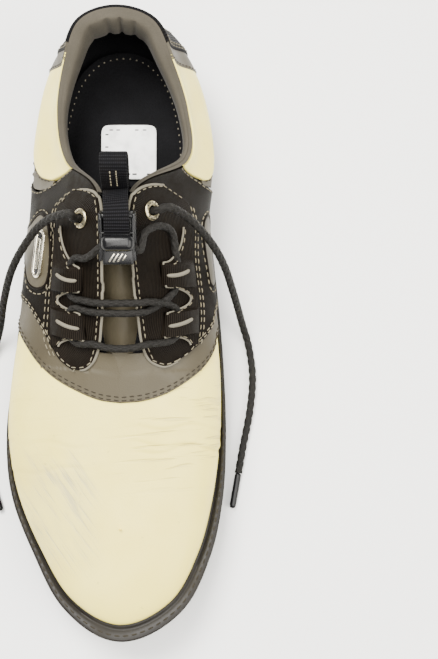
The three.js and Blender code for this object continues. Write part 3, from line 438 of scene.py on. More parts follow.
def carried(path: Array, section: Array, start: Array | None = None) -> Surface:
    """Carry closed sections along an open path and cap both ends.

    Args:
        path: Points of the path, (n, 3).
        section: Offsets in the two cross directions: (m, 2), or (n, m, 2) where it changes.
        start: The first cross direction's rough heading.

    Returns:
        The closed surface, with the length along and the share round it as its map.
    """
    _, x, y = frames(path, start)
    profile = np.broadcast_to(section, (len(path),) + section.shape[-2:])
    body = path[:, None] + profile[..., :1] * x[:, None] + profile[..., 1:] * y[:, None]
    around = np.arange(body.shape[1]) / body.shape[1]
    along = running_length(path)[:, None]
    return capped(body, np.stack(np.broadcast_arrays(along, around[None]), axis=-1))


def circle(radius: float, sides: int) -> Array:
    """Return a circle's points as offsets in two directions."""
    angle = full_turn(sides)
    return radius * np.stack([np.cos(angle), np.sin(angle)], axis=-1)


def full_turn(count: int) -> Array:
    """Return even angles once round, without the last."""
    return np.linspace(0, 2 * np.pi, count, endpoint=False)


def about_z(angle: float) -> Array:
    """Return the matrix of a turn about Z."""
    c, n = np.cos(angle), np.sin(angle)
    return np.array([[c, -n, 0], [n, c, 0], [0, 0, 1]])


def turned(profile: Spots, sides: int = 48, corner: int = 4) -> Surface:
    """Turn a closed profile of (radius, height) round the Z axis, with its corners softened.

    Each corner of the profile is replaced by points a short way along both of its sides.
    """
    p = np.asarray(profile, float)
    reach, shifted = 0.28, []
    for step in (1, -1):
        side = np.roll(p, step, axis=0) - p
        length = np.linalg.norm(side, axis=1, keepdims=True)
        shifted.append(p + side / np.maximum(length, 1e-9) * np.minimum(reach, 0.4 * length))
    a, b = shifted
    w = shares(corner)[:, None, None]
    soft = ((1 - w) ** 2 * a + 2 * w * (1 - w) * p + w**2 * b).transpose(1, 0, 2).reshape(-1, 2)
    spoke = circle(1.0, sides)[:, None] * soft[None, :, :1]
    return ring(np.concatenate([spoke, np.broadcast_to(soft[None, :, 1:], (*spoke.shape[:2], 1))], axis=-1))


def rounded_block(size: Sequence[float], radius: float, steps: int = 4) -> Surface:
    """Return a block with round edges.

    Each point is the corner of a smaller inner block plus the radius times a direction on the
    sphere; the direction's angles stop at every quarter turn, where the corner changes.
    """
    half = np.asarray(size, float) / 2 - radius
    quarter = np.linspace(0, np.pi / 2, steps)
    around = np.concatenate([quarter + k * np.pi / 2 for k in range(4)])
    around_sign = np.repeat([[1, 1], [-1, 1], [-1, -1], [1, -1]], steps, axis=0)
    up = np.concatenate([quarter - np.pi / 2, quarter])
    up_sign = np.repeat([-1, 1], steps)
    a, e = np.meshgrid(around, up, indexing="ij")
    grid = radius * np.stack([np.cos(a) * np.cos(e), np.sin(a) * np.cos(e), np.sin(e)], axis=-1)
    grid[..., 0] += half[0] * around_sign[:, :1]
    grid[..., 1] += half[1] * around_sign[:, 1:]
    grid[..., 2] += half[2] * up_sign[None]
    faces = grid_faces(len(around), len(up), wrap_rows=True)
    floor = np.arange(len(around)) * len(up)
    lids = np.stack([floor[:-2], floor[1:-1], floor[2:], floor[2:]], -1)
    lids[:, 0] = lids[:, 0] * 0
    top = lids[:, ::-1] + len(up) - 1
    points = grid.reshape(-1, 3)
    return Surface(points, np.vstack([faces, lids[:, ::-1], top[:, ::-1]]))


def stand(s: float, t: float, height: float = 0.0) -> tuple[Array, Array]:
    """Return the turn and place that stand a piece made on +Z on the last."""
    z = LAST.normal(s, t)
    x = unit(np.cross([0.0, 1.0, 0.0], z))
    return np.stack([x, np.cross(z, x), z], axis=-1), LAST.over(s, t, height)


# ---- Finishes ----


Socket = bpy.types.NodeSocket
Value = Socket | float


class Coordinates(Enum):
    """What a pattern follows: the model's own space, or the piece's map of millimetres."""

    OBJECT = "Object"
    MAP = "UV"


class NodeBook:
    """A short hand for writing one material's nodes."""

    def __init__(self, name: str) -> None:
        """Start a material with its shader."""
        self.material = bpy.data.materials.new(name)
        self.material.use_nodes = True
        self.tree = self.material.node_tree
        self.shader = self.tree.nodes["Principled BSDF"]

    def node(self, kind: str, links: dict | None = None, **settings: object) -> bpy.types.Node:
        """Add a node.

        Args:
            kind: The node's type, without its ShaderNode prefix.
            links: Sockets or values for its inputs, by name or number.
            settings: Properties of the node itself.

        Returns:
            The node.
        """
        made = self.tree.nodes.new("ShaderNode" + kind)
        for key, value in settings.items():
            setattr(made, key, value)
        for key, value in (links or {}).items():
            if isinstance(value, Socket):
                self.tree.links.new(value, made.inputs[key])
            else:
                made.inputs[key].default_value = value
        return made

    def place(
        self, scale: Sequence[float] = (1, 1, 1), turn: float = 0.0, kind: Coordinates = Coordinates.OBJECT
    ) -> Socket:
        """Return coordinates turned about Z, in degrees, and then scaled."""
        source = self.node("TexCoord").outputs[kind.value]
        size = tuple(1 / x for x in scale)
        links = {"Vector": source, "Scale": size, "Rotation": (0, 0, np.radians(turn))}
        return self.node("Mapping", links, vector_type="TEXTURE").outputs["Vector"]

    def noise(self, place: Socket, scale: float, detail: float = 3.0, roughness: float = 0.55) -> Socket:
        """Return a fractal noise value."""
        links = {"Vector": place, "Scale": scale, "Detail": detail, "Roughness": roughness}
        return self.node("TexNoise", links).outputs["Fac"]

    def math(self, operation: str, a: Value, b: Value = 0.0) -> Socket:
        """Return the result of one sum."""
        return self.node("Math", {0: a, 1: b}, operation=operation).outputs[0]

    def times(self, a: Value, b: Value) -> Socket:
        """Return two values multiplied."""
        return self.math("MULTIPLY", a, b)

    def within(
        self, value: Value, low: float, high: float, to_low: float = 0.0, to_high: float = 1.0
    ) -> Socket:
        """Return a value mapped smoothly from one range to another, held at the ends."""
        links = {"Value": value, "From Min": low, "From Max": high, "To Min": to_low, "To Max": to_high}
        return self.node("MapRange", links, interpolation_type="SMOOTHSTEP").outputs["Result"]

    def mix(self, share: Value, a: Socket | Colour, b: Socket | Colour) -> Socket:
        """Return two colours mixed."""
        rgba = [x if isinstance(x, Socket) else (*x, 1.0) for x in (a, b)]
        return self.node("Mix", {0: share, 6: rgba[0], 7: rgba[1]}, data_type="RGBA").outputs[2]

    def bump(self, height: Value, depth_mm: float, under: Socket | None = None) -> Socket:
        """Return a normal raised by a height from 0 to 1, depth_mm deep."""
        links = {"Height": height, "Distance": depth_mm * MM, "Strength": 1.0}
        if under is not None:
            links["Normal"] = under
        return self.node("Bump", links).outputs["Normal"]

    def set(self, **values: object) -> None:
        """Link or set the shader's inputs; names have underscores in place of spaces."""
        for key, value in values.items():
            socket = self.shader.inputs[key.replace("_", " ")]
            if isinstance(value, Socket):
                self.tree.links.new(value, socket)
            else:
                socket.default_value = value


@dataclass(frozen=True)
class Finish:
    """A finish makes its material once and hands it to every piece that asks."""

    name: str
    colour: Colour
    _made: ClassVar[dict[str, bpy.types.Material]] = {}

    @property
    def material(self) -> bpy.types.Material:
        """Return the finish's material."""
        if self.name not in Finish._made:
            book = NodeBook(self.name)
            self.paint(book)
            Finish._made[self.name] = book.material
        return Finish._made[self.name]

    def paint(self, book: NodeBook) -> None:
        """Write the nodes of the material."""
        raise NotImplementedError


@dataclass(frozen=True)
class Leather(Finish):
    """Coated leather: a fine pebbled grain, soft colour patches, and dust in the low places.

    Attributes:
        worn: Whether it has the flex creases and scuffs of a vamp.
    """

    shade: Colour
    roughness: float = 0.42
    grain_mm: float = 0.9
    worn: bool = False

    def paint(self, book: NodeBook) -> None:
        """Write the nodes of the material."""
        place = book.place()
        patches = book.within(book.noise(place, 22, 4), 0.35, 0.7)
        colour = book.mix(patches, self.colour, self.shade)
        cells = book.node("TexVoronoi", {"Vector": place, "Scale": 1000 / self.grain_mm},
                          feature="SMOOTH_F1").outputs["Distance"]
        fine = book.noise(place, 2600, 2)
        grain = book.math("ADD", cells, book.times(fine, 0.5))
        normal = book.bump(grain, 0.035)
        specks = book.within(book.noise(place, 230, 2), 0.70, 0.78)
        colour = book.mix(book.times(specks, 0.35), colour, tuple(c * 0.55 for c in self.shade))
        rough = book.within(book.noise(place, 70, 3), 0.3, 0.7, self.roughness - 0.07, self.roughness + 0.1)
        if self.worn:
            colour, normal = self._wear(book, colour, normal)
        book.set(Base_Color=colour, Roughness=rough, Normal=normal, Specular_IOR_Level=0.3)

    def _wear(self, book: NodeBook, colour: Socket, normal: Socket) -> tuple[Socket, Socket]:
        """Add fine creases across the flex line, darkened with painted shade, and long scuffs on the outer
        side of the toe.

        Both are noise stretched along the mark and kept where it is high: creases in a zone across the
        ball that fades to the outer side, scuffs slanting in a soft dusty patch.
        """
        axes = book.node("SeparateXYZ", {"Vector": book.place()})
        x, y = axes.outputs["X"], axes.outputs["Y"]
        stretched = book.noise(book.place((26, 330, 60), 5), 1.0, 2, 0.5)
        line = book.within(stretched, 0.56, 0.66)
        zone = book.times(book.within(y, -0.088, -0.066), book.within(y, -0.036, -0.012, 1, 0))
        crease = book.times(line, book.times(zone, book.within(x, -0.005, 0.03, 0.1, 1)))
        normal = book.bump(crease, -0.35, normal)
        # Painted shade: the creases are coloured darker, as shade falls in the folds.
        colour = book.mix(book.times(crease, 0.3), colour, (0.40, 0.34, 0.17))
        streaks = book.noise(book.place((520, 26, 60), 36), 1.0, 4, 0.7)
        patch = book.noise(book.place((70, 22, 20), 36), 1.0, 3)
        area = book.times(book.within(x, -0.05, -0.036), book.within(x, -0.02, 0.002, 1, 0))
        area = book.times(area, book.within(y, -0.13, -0.105))
        area = book.times(area, book.within(y, -0.075, -0.05, 1, 0))
        worn_patch = book.times(area, book.within(patch, 0.36, 0.6))
        scuff = book.times(book.within(streaks, 0.5, 0.64), worn_patch)
        share = book.math("ADD", book.times(scuff, 0.55), book.times(worn_patch, 0.22))
        colour = book.mix(share, colour, (0.42, 0.38, 0.26))
        return colour, book.bump(scuff, -0.16, normal)


@dataclass(frozen=True)
class Ribbed(Finish):
    """Black material with fine parallel ribs, embossed in leather or woven in webbing.

    The rib height is a sine along one direction of the piece's map, which is in millimetres; the rib crests
    are coloured lighter than the valleys, a painted highlight.
    """

    # The crests' lighter colour: a painted highlight on the rib tops.
    crest_highlight: Colour
    pitch_mm: float = 1.0
    depth_mm: float = 0.16
    turn: float = 0.0
    roughness: float = 0.5
    cross_mm: float = 0.0

    def paint(self, book: NodeBook) -> None:
        """Write the nodes of the material."""
        place = book.place(turn=self.turn, kind=Coordinates.MAP)
        axes = book.node("SeparateXYZ", {"Vector": place})
        wave = book.math("SINE", book.times(axes.outputs["Y"], 2 * np.pi / self.pitch_mm))
        height = book.within(wave, -1, 1)
        if self.cross_mm:
            weft = book.math("SINE", book.times(axes.outputs["X"], 2 * np.pi / self.cross_mm))
            height = book.times(height, book.within(weft, -1, 1, 0.35, 1))
        own = book.place()
        dust = book.within(book.noise(own, 60, 5, 0.65), 0.4, 0.75)
        # Painted highlight: the rib crests take the lighter colour.
        colour = book.mix(height, self.colour, self.crest_highlight)
        colour = book.mix(book.times(dust, 0.07), colour, (0.045, 0.036, 0.026))
        normal = book.bump(book.noise(own, 1500, 2), 0.03)
        normal = book.bump(height, self.depth_mm, normal)
        rough = book.within(dust, 0, 1, self.roughness, self.roughness + 0.18)
        book.set(Base_Color=colour, Roughness=rough, Normal=normal, Specular_IOR_Level=0.045)


@dataclass(frozen=True)
class Textile(Finish):
    """Knitted or woven cloth: small round cells with a fuzzy noise over them."""

    shade: Colour
    pitch_mm: float = 0.7
    depth_mm: float = 0.08
    sheen: float = 0.05

    def paint(self, book: NodeBook) -> None:
        """Write the nodes of the material."""
        place = book.place()
        knit = book.node("TexVoronoi", {"Vector": place, "Scale": 1000 / self.pitch_mm}).outputs["Distance"]
        fuzz = book.noise(place, 1800, 3)
        patches = book.within(book.noise(place, 35, 4), 0.3, 0.7)
        colour = book.mix(patches, self.colour, self.shade)
        colour = book.mix(book.times(knit, 0.4), colour, tuple(c * 0.6 for c in self.colour))
        height = book.math("ADD", knit, book.times(fuzz, 0.6))
        book.set(Base_Color=colour, Roughness=0.85, Normal=book.bump(height, self.depth_mm),
                 Specular_IOR_Level=0.1, Sheen_Weight=self.sheen, Sheen_Roughness=0.5)


@dataclass(frozen=True)
class Braid(Finish):
    """Round braided cord: the strand pattern is in the mesh, and fine fibres are added here; lighter diagonal
    bands over the strands are a painted highlight.
    """

    crest_highlight: Colour

    def paint(self, book: NodeBook) -> None:
        """Write the nodes of the material."""
        place = book.place((1, 12, 1), kind=Coordinates.MAP)
        fibres = book.noise(place, 5, 2)
        strands = book.node("TexWave", {"Vector": place, "Scale": 0.55, "Distortion": 1.2},
                            wave_type="BANDS", bands_direction="DIAGONAL").outputs["Fac"]
        # Painted highlight: lighter diagonal bands on the strands.
        colour = book.mix(book.times(strands, fibres), self.colour, self.crest_highlight)
        book.set(Base_Color=colour, Roughness=0.62, Normal=book.bump(fibres, 0.12), Specular_IOR_Level=0.2)


@dataclass(frozen=True)
class Rubber(Finish):
    """Moulded rubber: a fine even grain, dulled and lightened by dust in patches."""

    dust: Colour = (0.17, 0.15, 0.12)
    roughness: float = 0.55

    def paint(self, book: NodeBook) -> None:
        """Write the nodes of the material."""
        place = book.place()
        patches = book.within(book.noise(place, 45, 5, 0.65), 0.42, 0.8)
        scrapes = book.within(book.noise(book.place((60, 60, 500)), 1, 3), 0.6, 0.75)
        share = book.times(book.math("ADD", patches, scrapes), 0.3)
        rough = book.within(patches, 0, 1, self.roughness, self.roughness + 0.2)
        book.set(Base_Color=book.mix(share, self.colour, self.dust), Roughness=rough,
                 Normal=book.bump(book.noise(place, 900, 3), 0.05), Specular_IOR_Level=0.22)


@dataclass(frozen=True)
class Hard(Finish):
    """Plastic or plated metal with hairline marks, and dull patches from handling."""

    metallic: float = 0.0
    roughness: float = 0.25

    def paint(self, book: NodeBook) -> None:
        """Write the nodes of the material."""
        place = book.place()
        handled = book.noise(place, 150, 4)
        colour = book.mix(book.within(handled, 0.4, 0.8), self.colour, tuple(c * 0.72 for c in self.colour))
        hair = book.noise(book.place((300, 2600, 900), 20), 1, 2)
        rough = book.within(handled, 0.3, 0.7, self.roughness, self.roughness + 0.14)
        book.set(Base_Color=colour, Roughness=rough, Metallic=self.metallic,
                 Normal=book.bump(hair, 0.012), Specular_IOR_Level=0.25)


CREAM = Leather("cream_leather", (0.93, 0.80, 0.215), (0.87, 0.73, 0.16), 0.36, 0.8)
CREAM_WORN = replace(CREAM, name="cream_leather_vamp", worn=True)
TAUPE = Leather("taupe_leather", (0.060, 0.050, 0.030), (0.045, 0.037, 0.022), 0.5, 0.7)
# The second colour of BLACK_RIBBED, BLACK_PLAIN, WEBBING, HEEL_TAPE and LACE_CORD is a painted highlight on
# their crests.
BLACK_RIBBED = Ribbed("black_ribbed_leather", (0.0015, 0.0011, 0.0008), (0.010, 0.0074, 0.005), 1.0, 0.16)
BLACK_PLAIN = Ribbed("black_saddle_leather", (0.002, 0.0015, 0.001), (0.006, 0.0045, 0.003), 0.85, 0.06)
WEBBING = Ribbed("black_webbing", (0.002, 0.002, 0.0025), (0.013, 0.013, 0.015), 1.5, 0.3, 90, 0.7, 0.9)
HEEL_TAPE = Ribbed("heel_ribbed_tape", (0.003, 0.003, 0.0035), (0.020, 0.020, 0.022), 1.6, 0.35, 90, 0.6)
GREY_LINING = Textile("grey_lining", (0.070, 0.062, 0.048), (0.052, 0.046, 0.035))
BLACK_CLOTH = Textile("black_top_cloth", (0.0025, 0.0025, 0.003), (0.005, 0.005, 0.006), 1.1, 0.15, 0.0)
PALE_THREAD = Textile("pale_thread", (0.20, 0.175, 0.12), (0.14, 0.125, 0.088), 0.3, 0.03)
TAUPE_THREAD = Textile("taupe_thread", (0.034, 0.029, 0.020), (0.026, 0.022, 0.015), 0.3, 0.03)
GREY_PIPING = Textile("grey_piping", (0.165, 0.150, 0.115), (0.125, 0.114, 0.088), 0.4, 0.04)
LACE_CORD = Braid("black_braided_lace", (0.002, 0.0018, 0.0016), (0.022, 0.0195, 0.016))
SOLE_RUBBER = Rubber("sole_rubber", (0.006, 0.005, 0.004), (0.030, 0.026, 0.020))
WELT_RUBBER = Rubber("welt_rubber", (0.009, 0.0075, 0.0058), (0.034, 0.029, 0.022), 0.45)
CLEAT_PLASTIC = Rubber("cleat_plastic", (0.008, 0.008, 0.009), roughness=0.38)
SOCKET_PLASTIC = Rubber("socket_plastic", (0.05, 0.05, 0.05), roughness=0.4)
CHROME = Hard("plated_trim", (0.83, 0.77, 0.62), 1.0, 0.16)
BRASS = Hard("eyelet_metal", (0.46, 0.40, 0.25), 1.0, 0.3)
GLOSS_PLASTIC = Hard("buckle_plastic", (0.004, 0.004, 0.0045), 0.0, 0.24)
INK = Hard("dark_print", (0.02, 0.02, 0.02), 0.0, 0.5)
LABEL = Hard("label_white", (0.95, 0.95, 0.93), 0.0, 0.45)
BOARD = Textile("inner_board", (0.42, 0.35, 0.24), (0.36, 0.30, 0.20))


# ---- Making pieces ----


def placed(name: str, data: bpy.types.ID) -> bpy.types.Object:
    """Put new data in the scene as an object."""
    made = bpy.data.objects.new(name, data)
    bpy.context.scene.collection.objects.link(made)
    return made


@dataclass
class Workshop:
    """Turns surfaces into objects that ride on the model's bodies."""

    count: int = 0

    def make(
        self, name: str, surface: Surface, finish: Finish, body: Body | str = Body.SHOE,
        slot: str | None = None, replaces: Sequence[str] | None = None, sharp: float = 62,
        weld: bool = False,
    ) -> bpy.types.Object:
        """Make one piece.

        Args:
            name: The piece's name.
            surface: Its points and faces, in the last's frame.
            finish: Its finish.
            body: The body it rides on.
            slot: The record's material slot it stands for; if it is given and replaces is not, the solid of
                its own name is hidden.
            replaces: The solids it stands for, by default the one of its own name if it has a slot.
            sharp: An angle in degrees past which an edge is drawn sharp.
            weld: Whether points that meet are joined.

        Returns:
            The object.
        """
        mesh = bpy.data.meshes.new(name)
        points = (surface.points + SHIFT) * MM
        faces = [tuple(dict.fromkeys(f)) for f in surface.faces.tolist()]
        mesh.from_pydata(points.tolist(), [], faces)
        if surface.uv is not None:
            loops = np.zeros(len(mesh.loops), np.int32)
            mesh.loops.foreach_get("vertex_index", loops)
            layer = mesh.uv_layers.new(name="UVMap")
            layer.data.foreach_set("uv", surface.uv[loops].astype(np.float32).ravel())
        if weld:
            mesh_edit = bmesh.new()
            mesh_edit.from_mesh(mesh)
            bmesh.ops.remove_doubles(mesh_edit, verts=mesh_edit.verts, dist=2e-6)
            bmesh.ops.recalc_face_normals(mesh_edit, faces=mesh_edit.faces)
            mesh_edit.to_mesh(mesh)
            mesh_edit.free()
        mesh.validate()
        mesh.shade_smooth()
        mesh.set_sharp_from_angle(angle=np.radians(sharp))
        mesh.materials.append(finish.material)
        piece = placed(name, mesh)
        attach(piece, body.value if isinstance(body, Body) else body)
        if replaces is None and slot:
            replaces = [name]
        if replaces:
            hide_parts(*replaces)
        self.count += 1
        LOG.info("%s: %d faces", name, len(faces))
        return piece


@dataclass
class Patch:
    """A part of the last inside four rails: bottom and top run with s, left and right with t."""

    side: Side
    bottom: Spots
    top: Spots
    left: Spots
    right: Spots

    def spots(self, u: Array, v: Array) -> tuple[Array, Array]:
        """Fill the rails as a Coons patch.

        Each pair of facing rails is blended across, and the blend of the four corners is taken away.
        """
        u, v = np.broadcast_arrays(u, v)
        b, t, l, r = (Rail(x) for x in (self.bottom, self.top, self.left, self.right))
        bu, tu, lv, rv = b.at(u), t.at(u), l.at(v), r.at(v)
        b0, b1, t0, t1 = b.at(0.0), b.at(1.0), t.at(0.0), t.at(1.0)
        u, v = u[..., None], v[..., None]
        st = ((1 - v) * bu + v * tu + (1 - u) * lv + u * rv - (1 - u) * (1 - v) * b0
              - u * (1 - v) * b1 - (1 - u) * v * t0 - u * v * t1)
        return self.side.station(st[..., 0]), np.clip(st[..., 1], 0, 1)

    def sheet(
        self,
        top_height: float,
        foot_height: float,
        under: float,
        columns: int,
        rows: int,
        rounded: str = "btlr",
        radius: float = 0.8,
        relief: Callable[[Array, Array], Array] | None = None,
    ) -> Surface:
        """Make a piece of leather over the patch, with its free edges rounded down.

        The outer height is a quarter ellipse of the distance from the nearest rounded edge, from
        foot_height at the edge to top_height one radius in.

        Args:
            top_height: Height of the outer face over the last.
            foot_height: Height at which a rounded edge meets the piece below.
            under: Height of the inner face.
            columns: Even steps between the left and right edges.
            rows: Even steps between the bottom and top edges.
            rounded: Which edges are rounded: b, t, l, r.
            radius: The edge's radius.
            relief: Extra height for given stations and rises.

        Returns:
            The closed surface with its map in millimetres.
        """
        middle = LAST.point(*self.spots(shares(9), 0.5))
        cross = LAST.point(*self.spots(0.5, shares(9)))
        u = edge_steps(running_length(middle)[-1], columns, "l" in rounded, "r" in rounded)
        v = edge_steps(running_length(cross)[-1], rows, "b" in rounded, "t" in rounded)
        s, t = self.spots(u[:, None], v[None, :])
        base = LAST.point(s, t)
        along, rise = running_length(base, 0), running_length(base, 1)
        far = np.full(s.shape, 1e3)
        distances = {"l": along, "r": along[-1:] - along, "b": rise, "t": rise[:, -1:] - rise}
        for edge in rounded:
            far = np.minimum(far, distances[edge])
        curve = np.sqrt(1 - (1 - np.clip(far / radius, 0, 1)) ** 2)
        height = foot_height + (top_height - foot_height) * curve
        if relief is not None:
            height = height + relief(s, t) * curve
        normals = LAST.normal(s, t)
        outer = base + normals * height[..., None]
        inner = base + normals * min(under, foot_height - 0.05)
        uv = np.stack([along.mean(axis=1, keepdims=True) + 0 * along, rise], axis=-1)
        return shell(outer, inner, uv)

    def line(
        self, edge: str, inset: float, start: float = 0.0, end: float = 1.0
    ) -> tuple[Array, Array]:
        """Return the (station, rise) line that runs along one edge, inset millimetres inside it."""
        run = np.linspace(start, end, 160)
        share = shares(15)
        if edge in "bt":
            length = running_length(LAST.point(*self.spots(run[:, None], share[None])), 1)[:, -1]
            away = np.clip(inset / length, 0, 1)
            return self.spots(run, away if edge == "b" else 1 - away)
        length = running_length(LAST.point(*self.spots(share[:, None], run[None])), 0)[-1]
        away = np.clip(inset / length, 0, 1)
        return self.spots(away if edge == "l" else 1 - away, run)


@dataclass
class Stitching:
    """Lock stitches: short rounded lengths of thread that dip into the leather at both ends."""

    length: float = 2.5
    gap: float = 1.1
    radius: float = 0.29

    def stitch(self) -> Surface:
        """Return one stitch along X; its centre line is an arch and its radius shrinks to the ends."""
        x = np.array([-0.5, -0.4, 0.0, 0.4, 0.5])
        size = np.array([0.35, 0.9, 1.0, 0.9, 0.35])
        lift = np.array([-0.8, 0.1, 0.55, 0.1, -0.8])
        cross = circle(self.radius, 6)
        grid = np.stack([
            np.broadcast_to(x[:, None] * self.length, (5, 6)),
            size[:, None] * cross[None, :, 0],
            size[:, None] * cross[None, :, 1] + lift[:, None] * self.radius,
        ], axis=-1)
        sides = grid_faces(5, 6, wrap_columns=True)
        caps = np.array([[0, 1, 2, 3], [0, 3, 4, 5], [27, 26, 25, 24], [29, 28, 27, 24]])
        return Surface(grid.reshape(-1, 3), np.vstack([sides, caps])).outward()

    def row(self, line: Array, normals: Array) -> Surface:
        """Lay stitches along a line of points.

        Args:
            line: Points on the leather's outer face.
            normals: The face's normals there.

        Returns:
            All the stitches as one list of points and faces.
        """
        length = running_length(line)
        count = max(1, int(length[-1] / (self.length + self.gap)))
        places = (np.arange(count) + 0.5) * length[-1] / count
        centre, z, x = (np.stack([np.interp(places, length, column) for column in values.T], axis=-1)
                        for values in (line, normals, np.gradient(line, axis=0)))
        z, x = unit(z), unit(x)
        y = np.cross(z, x)
        basis = np.stack([x, y, np.cross(x, y)], axis=1)
        one = self.stitch()
        points = centre[:, None] + np.einsum("vk,nkd->nvd", one.points, basis)
        faces = one.faces[None] + (np.arange(count) * len(one.points))[:, None, None]
        return Surface(points.reshape(-1, 3), faces.reshape(-1, 4))


def sewn(spots: tuple[Array, Array], height: float, thread: Stitching | None = None) -> Surface:
    """Lay stitches along a (station, rise) line at a height over the last."""
    s, t = spots
    return (thread or Stitching()).row(LAST.over(s, t, height), LAST.normal(s, t))


def offset_line(spots: Spots, side: Side, rise_mm: float) -> tuple[Array, Array]:
    """Return a rail's spots moved in rise by roughly that many millimetres."""
    line = Rail(spots).at(shares(160))
    return side.station(line[:, 0]), line[:, 1] + rise_mm / Rail.SCALE[1]


@dataclass
class SubAssembly:
    """A group of pieces made in one workshop."""

    shop: Workshop

    @property
    def make(self) -> Callable[..., bpy.types.Object]:
        """Return the workshop's way to make one piece."""
        return self.shop.make


# ---- Upper ----


@dataclass
class SideRails:
    """The seams on one side of the foot, as (station, rise) spots in the lateral numbering."""

    side: Side
    vamp_edge: Spots
    saddle_front: Spots
    saddle_back: Spots
    cream_low: Spots
    cream_front: Spots
    trim_low: Spots
    trim_end: Spots
    facing_out: Spots
    facing_end: Spots
    facing_in: Spots
    facing_top: Spots
    eyelet: tuple[float, float]
    window: Spots
    tabs: Spots
    tab_rises: tuple[float, float]


LOW = 0.012
"""The rise at which the upper starts, just over the midsole."""

LATERAL = SideRails(
    side=Side.LATERAL,
    vamp_edge=[(6.1, LOW), (6.28, 0.17), (6.65, 0.39), (6.98, 0.53), (7.2, 0.64), (7.4, 0.77), (7.55, 0.89),
               (7.6, 1)],
    saddle_front=[(5.75, LOW), (5.93, 0.23), (6.05, 0.39), (6.35, 0.52), (6.73, 0.63), (7, 1)],
    saddle_back=[(3.7, LOW), (4, 0.2), (4.28, 0.34), (4.42, 0.46), (4.4, 0.6), (4.28, 0.8), (4.24, 1)],
    cream_low=[(2, 0.18), (2.8, 0.2), (3.45, 0.28), (3.85, 0.4), (4.12, 0.51), (4.27, 0.63)],
    cream_front=[(4.27, 0.63), (4.26, 0.8), (4.24, 1)],
    trim_low=[(2, LOW), (3, LOW), (3.66, LOW), (3.95, 0.2), (4.24, 0.34), (4.38, 0.46)],
    trim_end=[(4.38, 0.46), (4.36, 0.58), (4.27, 0.63)],
    facing_out=[(4.78, 0.86), (4.72, 0.78), (4.9, 0.63), (5.3, 0.61), (5.93, 0.6), (6.5, 0.6), (6.82, 0.65),
                (7, 0.73)],
    facing_end=[(7, 0.73), (6.98, 0.8), (6.84, 0.85)],
    facing_in=[(4.97, 1), (5.4, 1), (5.9, 1), (6.2, 0.96), (6.58, 0.9), (6.84, 0.85)],
    facing_top=[(4.78, 0.86), (4.86, 0.94), (4.97, 1)],
    eyelet=(5.15, 0.82),
    window=[(4.9, 0.47), (5.12, 0.54), (5.5, 0.57), (5.74, 0.55), (5.8, 0.48), (5.72, 0.38), (5.45, 0.29),
            (5.2, 0.2), (4.95, 0.2), (4.97, 0.33)],
    tabs=[(5.57, 5.79), (6.02, 6.42)],
    tab_rises=(0.62, 0.85),
)
MEDIAL = SideRails(
    side=Side.MEDIAL,
    vamp_edge=[(6.3, LOW), (6.47, 0.27), (6.65, 0.32), (6.93, 0.43), (7.22, 0.59), (7.43, 0.73), (7.55, 0.86),
               (7.6, 1)],
    saddle_front=[(5.85, LOW), (6.07, 0.27), (6.32, 0.35), (6.5, 0.44), (6.7, 0.56), (7, 1)],
    saddle_back=[(3.8, LOW), (4.17, 0.24), (4.24, 0.44), (4.2, 0.6), (4.16, 0.8), (4.14, 1)],
    cream_low=[(2, 0.18), (2.8, 0.2), (3.45, 0.28), (3.9, 0.36), (4.08, 0.44), (4.15, 0.52)],
    cream_front=[(4.15, 0.52), (4.15, 0.75), (4.14, 1)],
    trim_low=[(2, LOW), (3, LOW), (3.76, LOW), (4.11, 0.22), (4.2, 0.42)],
    trim_end=[(4.2, 0.42), (4.19, 0.48), (4.15, 0.52)],
    facing_out=[(4.62, 0.84), (4.64, 0.72), (4.74, 0.54), (5, 0.47), (5.5, 0.49), (6.18, 0.49), (6.6, 0.52),
                (6.84, 0.64)],
    facing_end=[(6.84, 0.64), (6.92, 0.72), (6.8, 0.81)],
    facing_in=[(4.93, 1), (5.4, 1), (5.9, 1), (6.15, 0.96), (6.4, 0.91), (6.8, 0.81)],
    facing_top=[(4.62, 0.84), (4.72, 0.93), (4.93, 1)],
    eyelet=(5.05, 0.81),
    window=[(4.72, 0.3), (4.86, 0.35), (5.1, 0.36), (5.45, 0.35), (5.68, 0.34), (5.72, 0.29), (5.6, 0.22),
            (5.2, 0.17), (4.8, 0.2)],
    tabs=[(5.52, 5.74), (6.02, 6.38)],
    tab_rises=(0.52, 0.77),
)


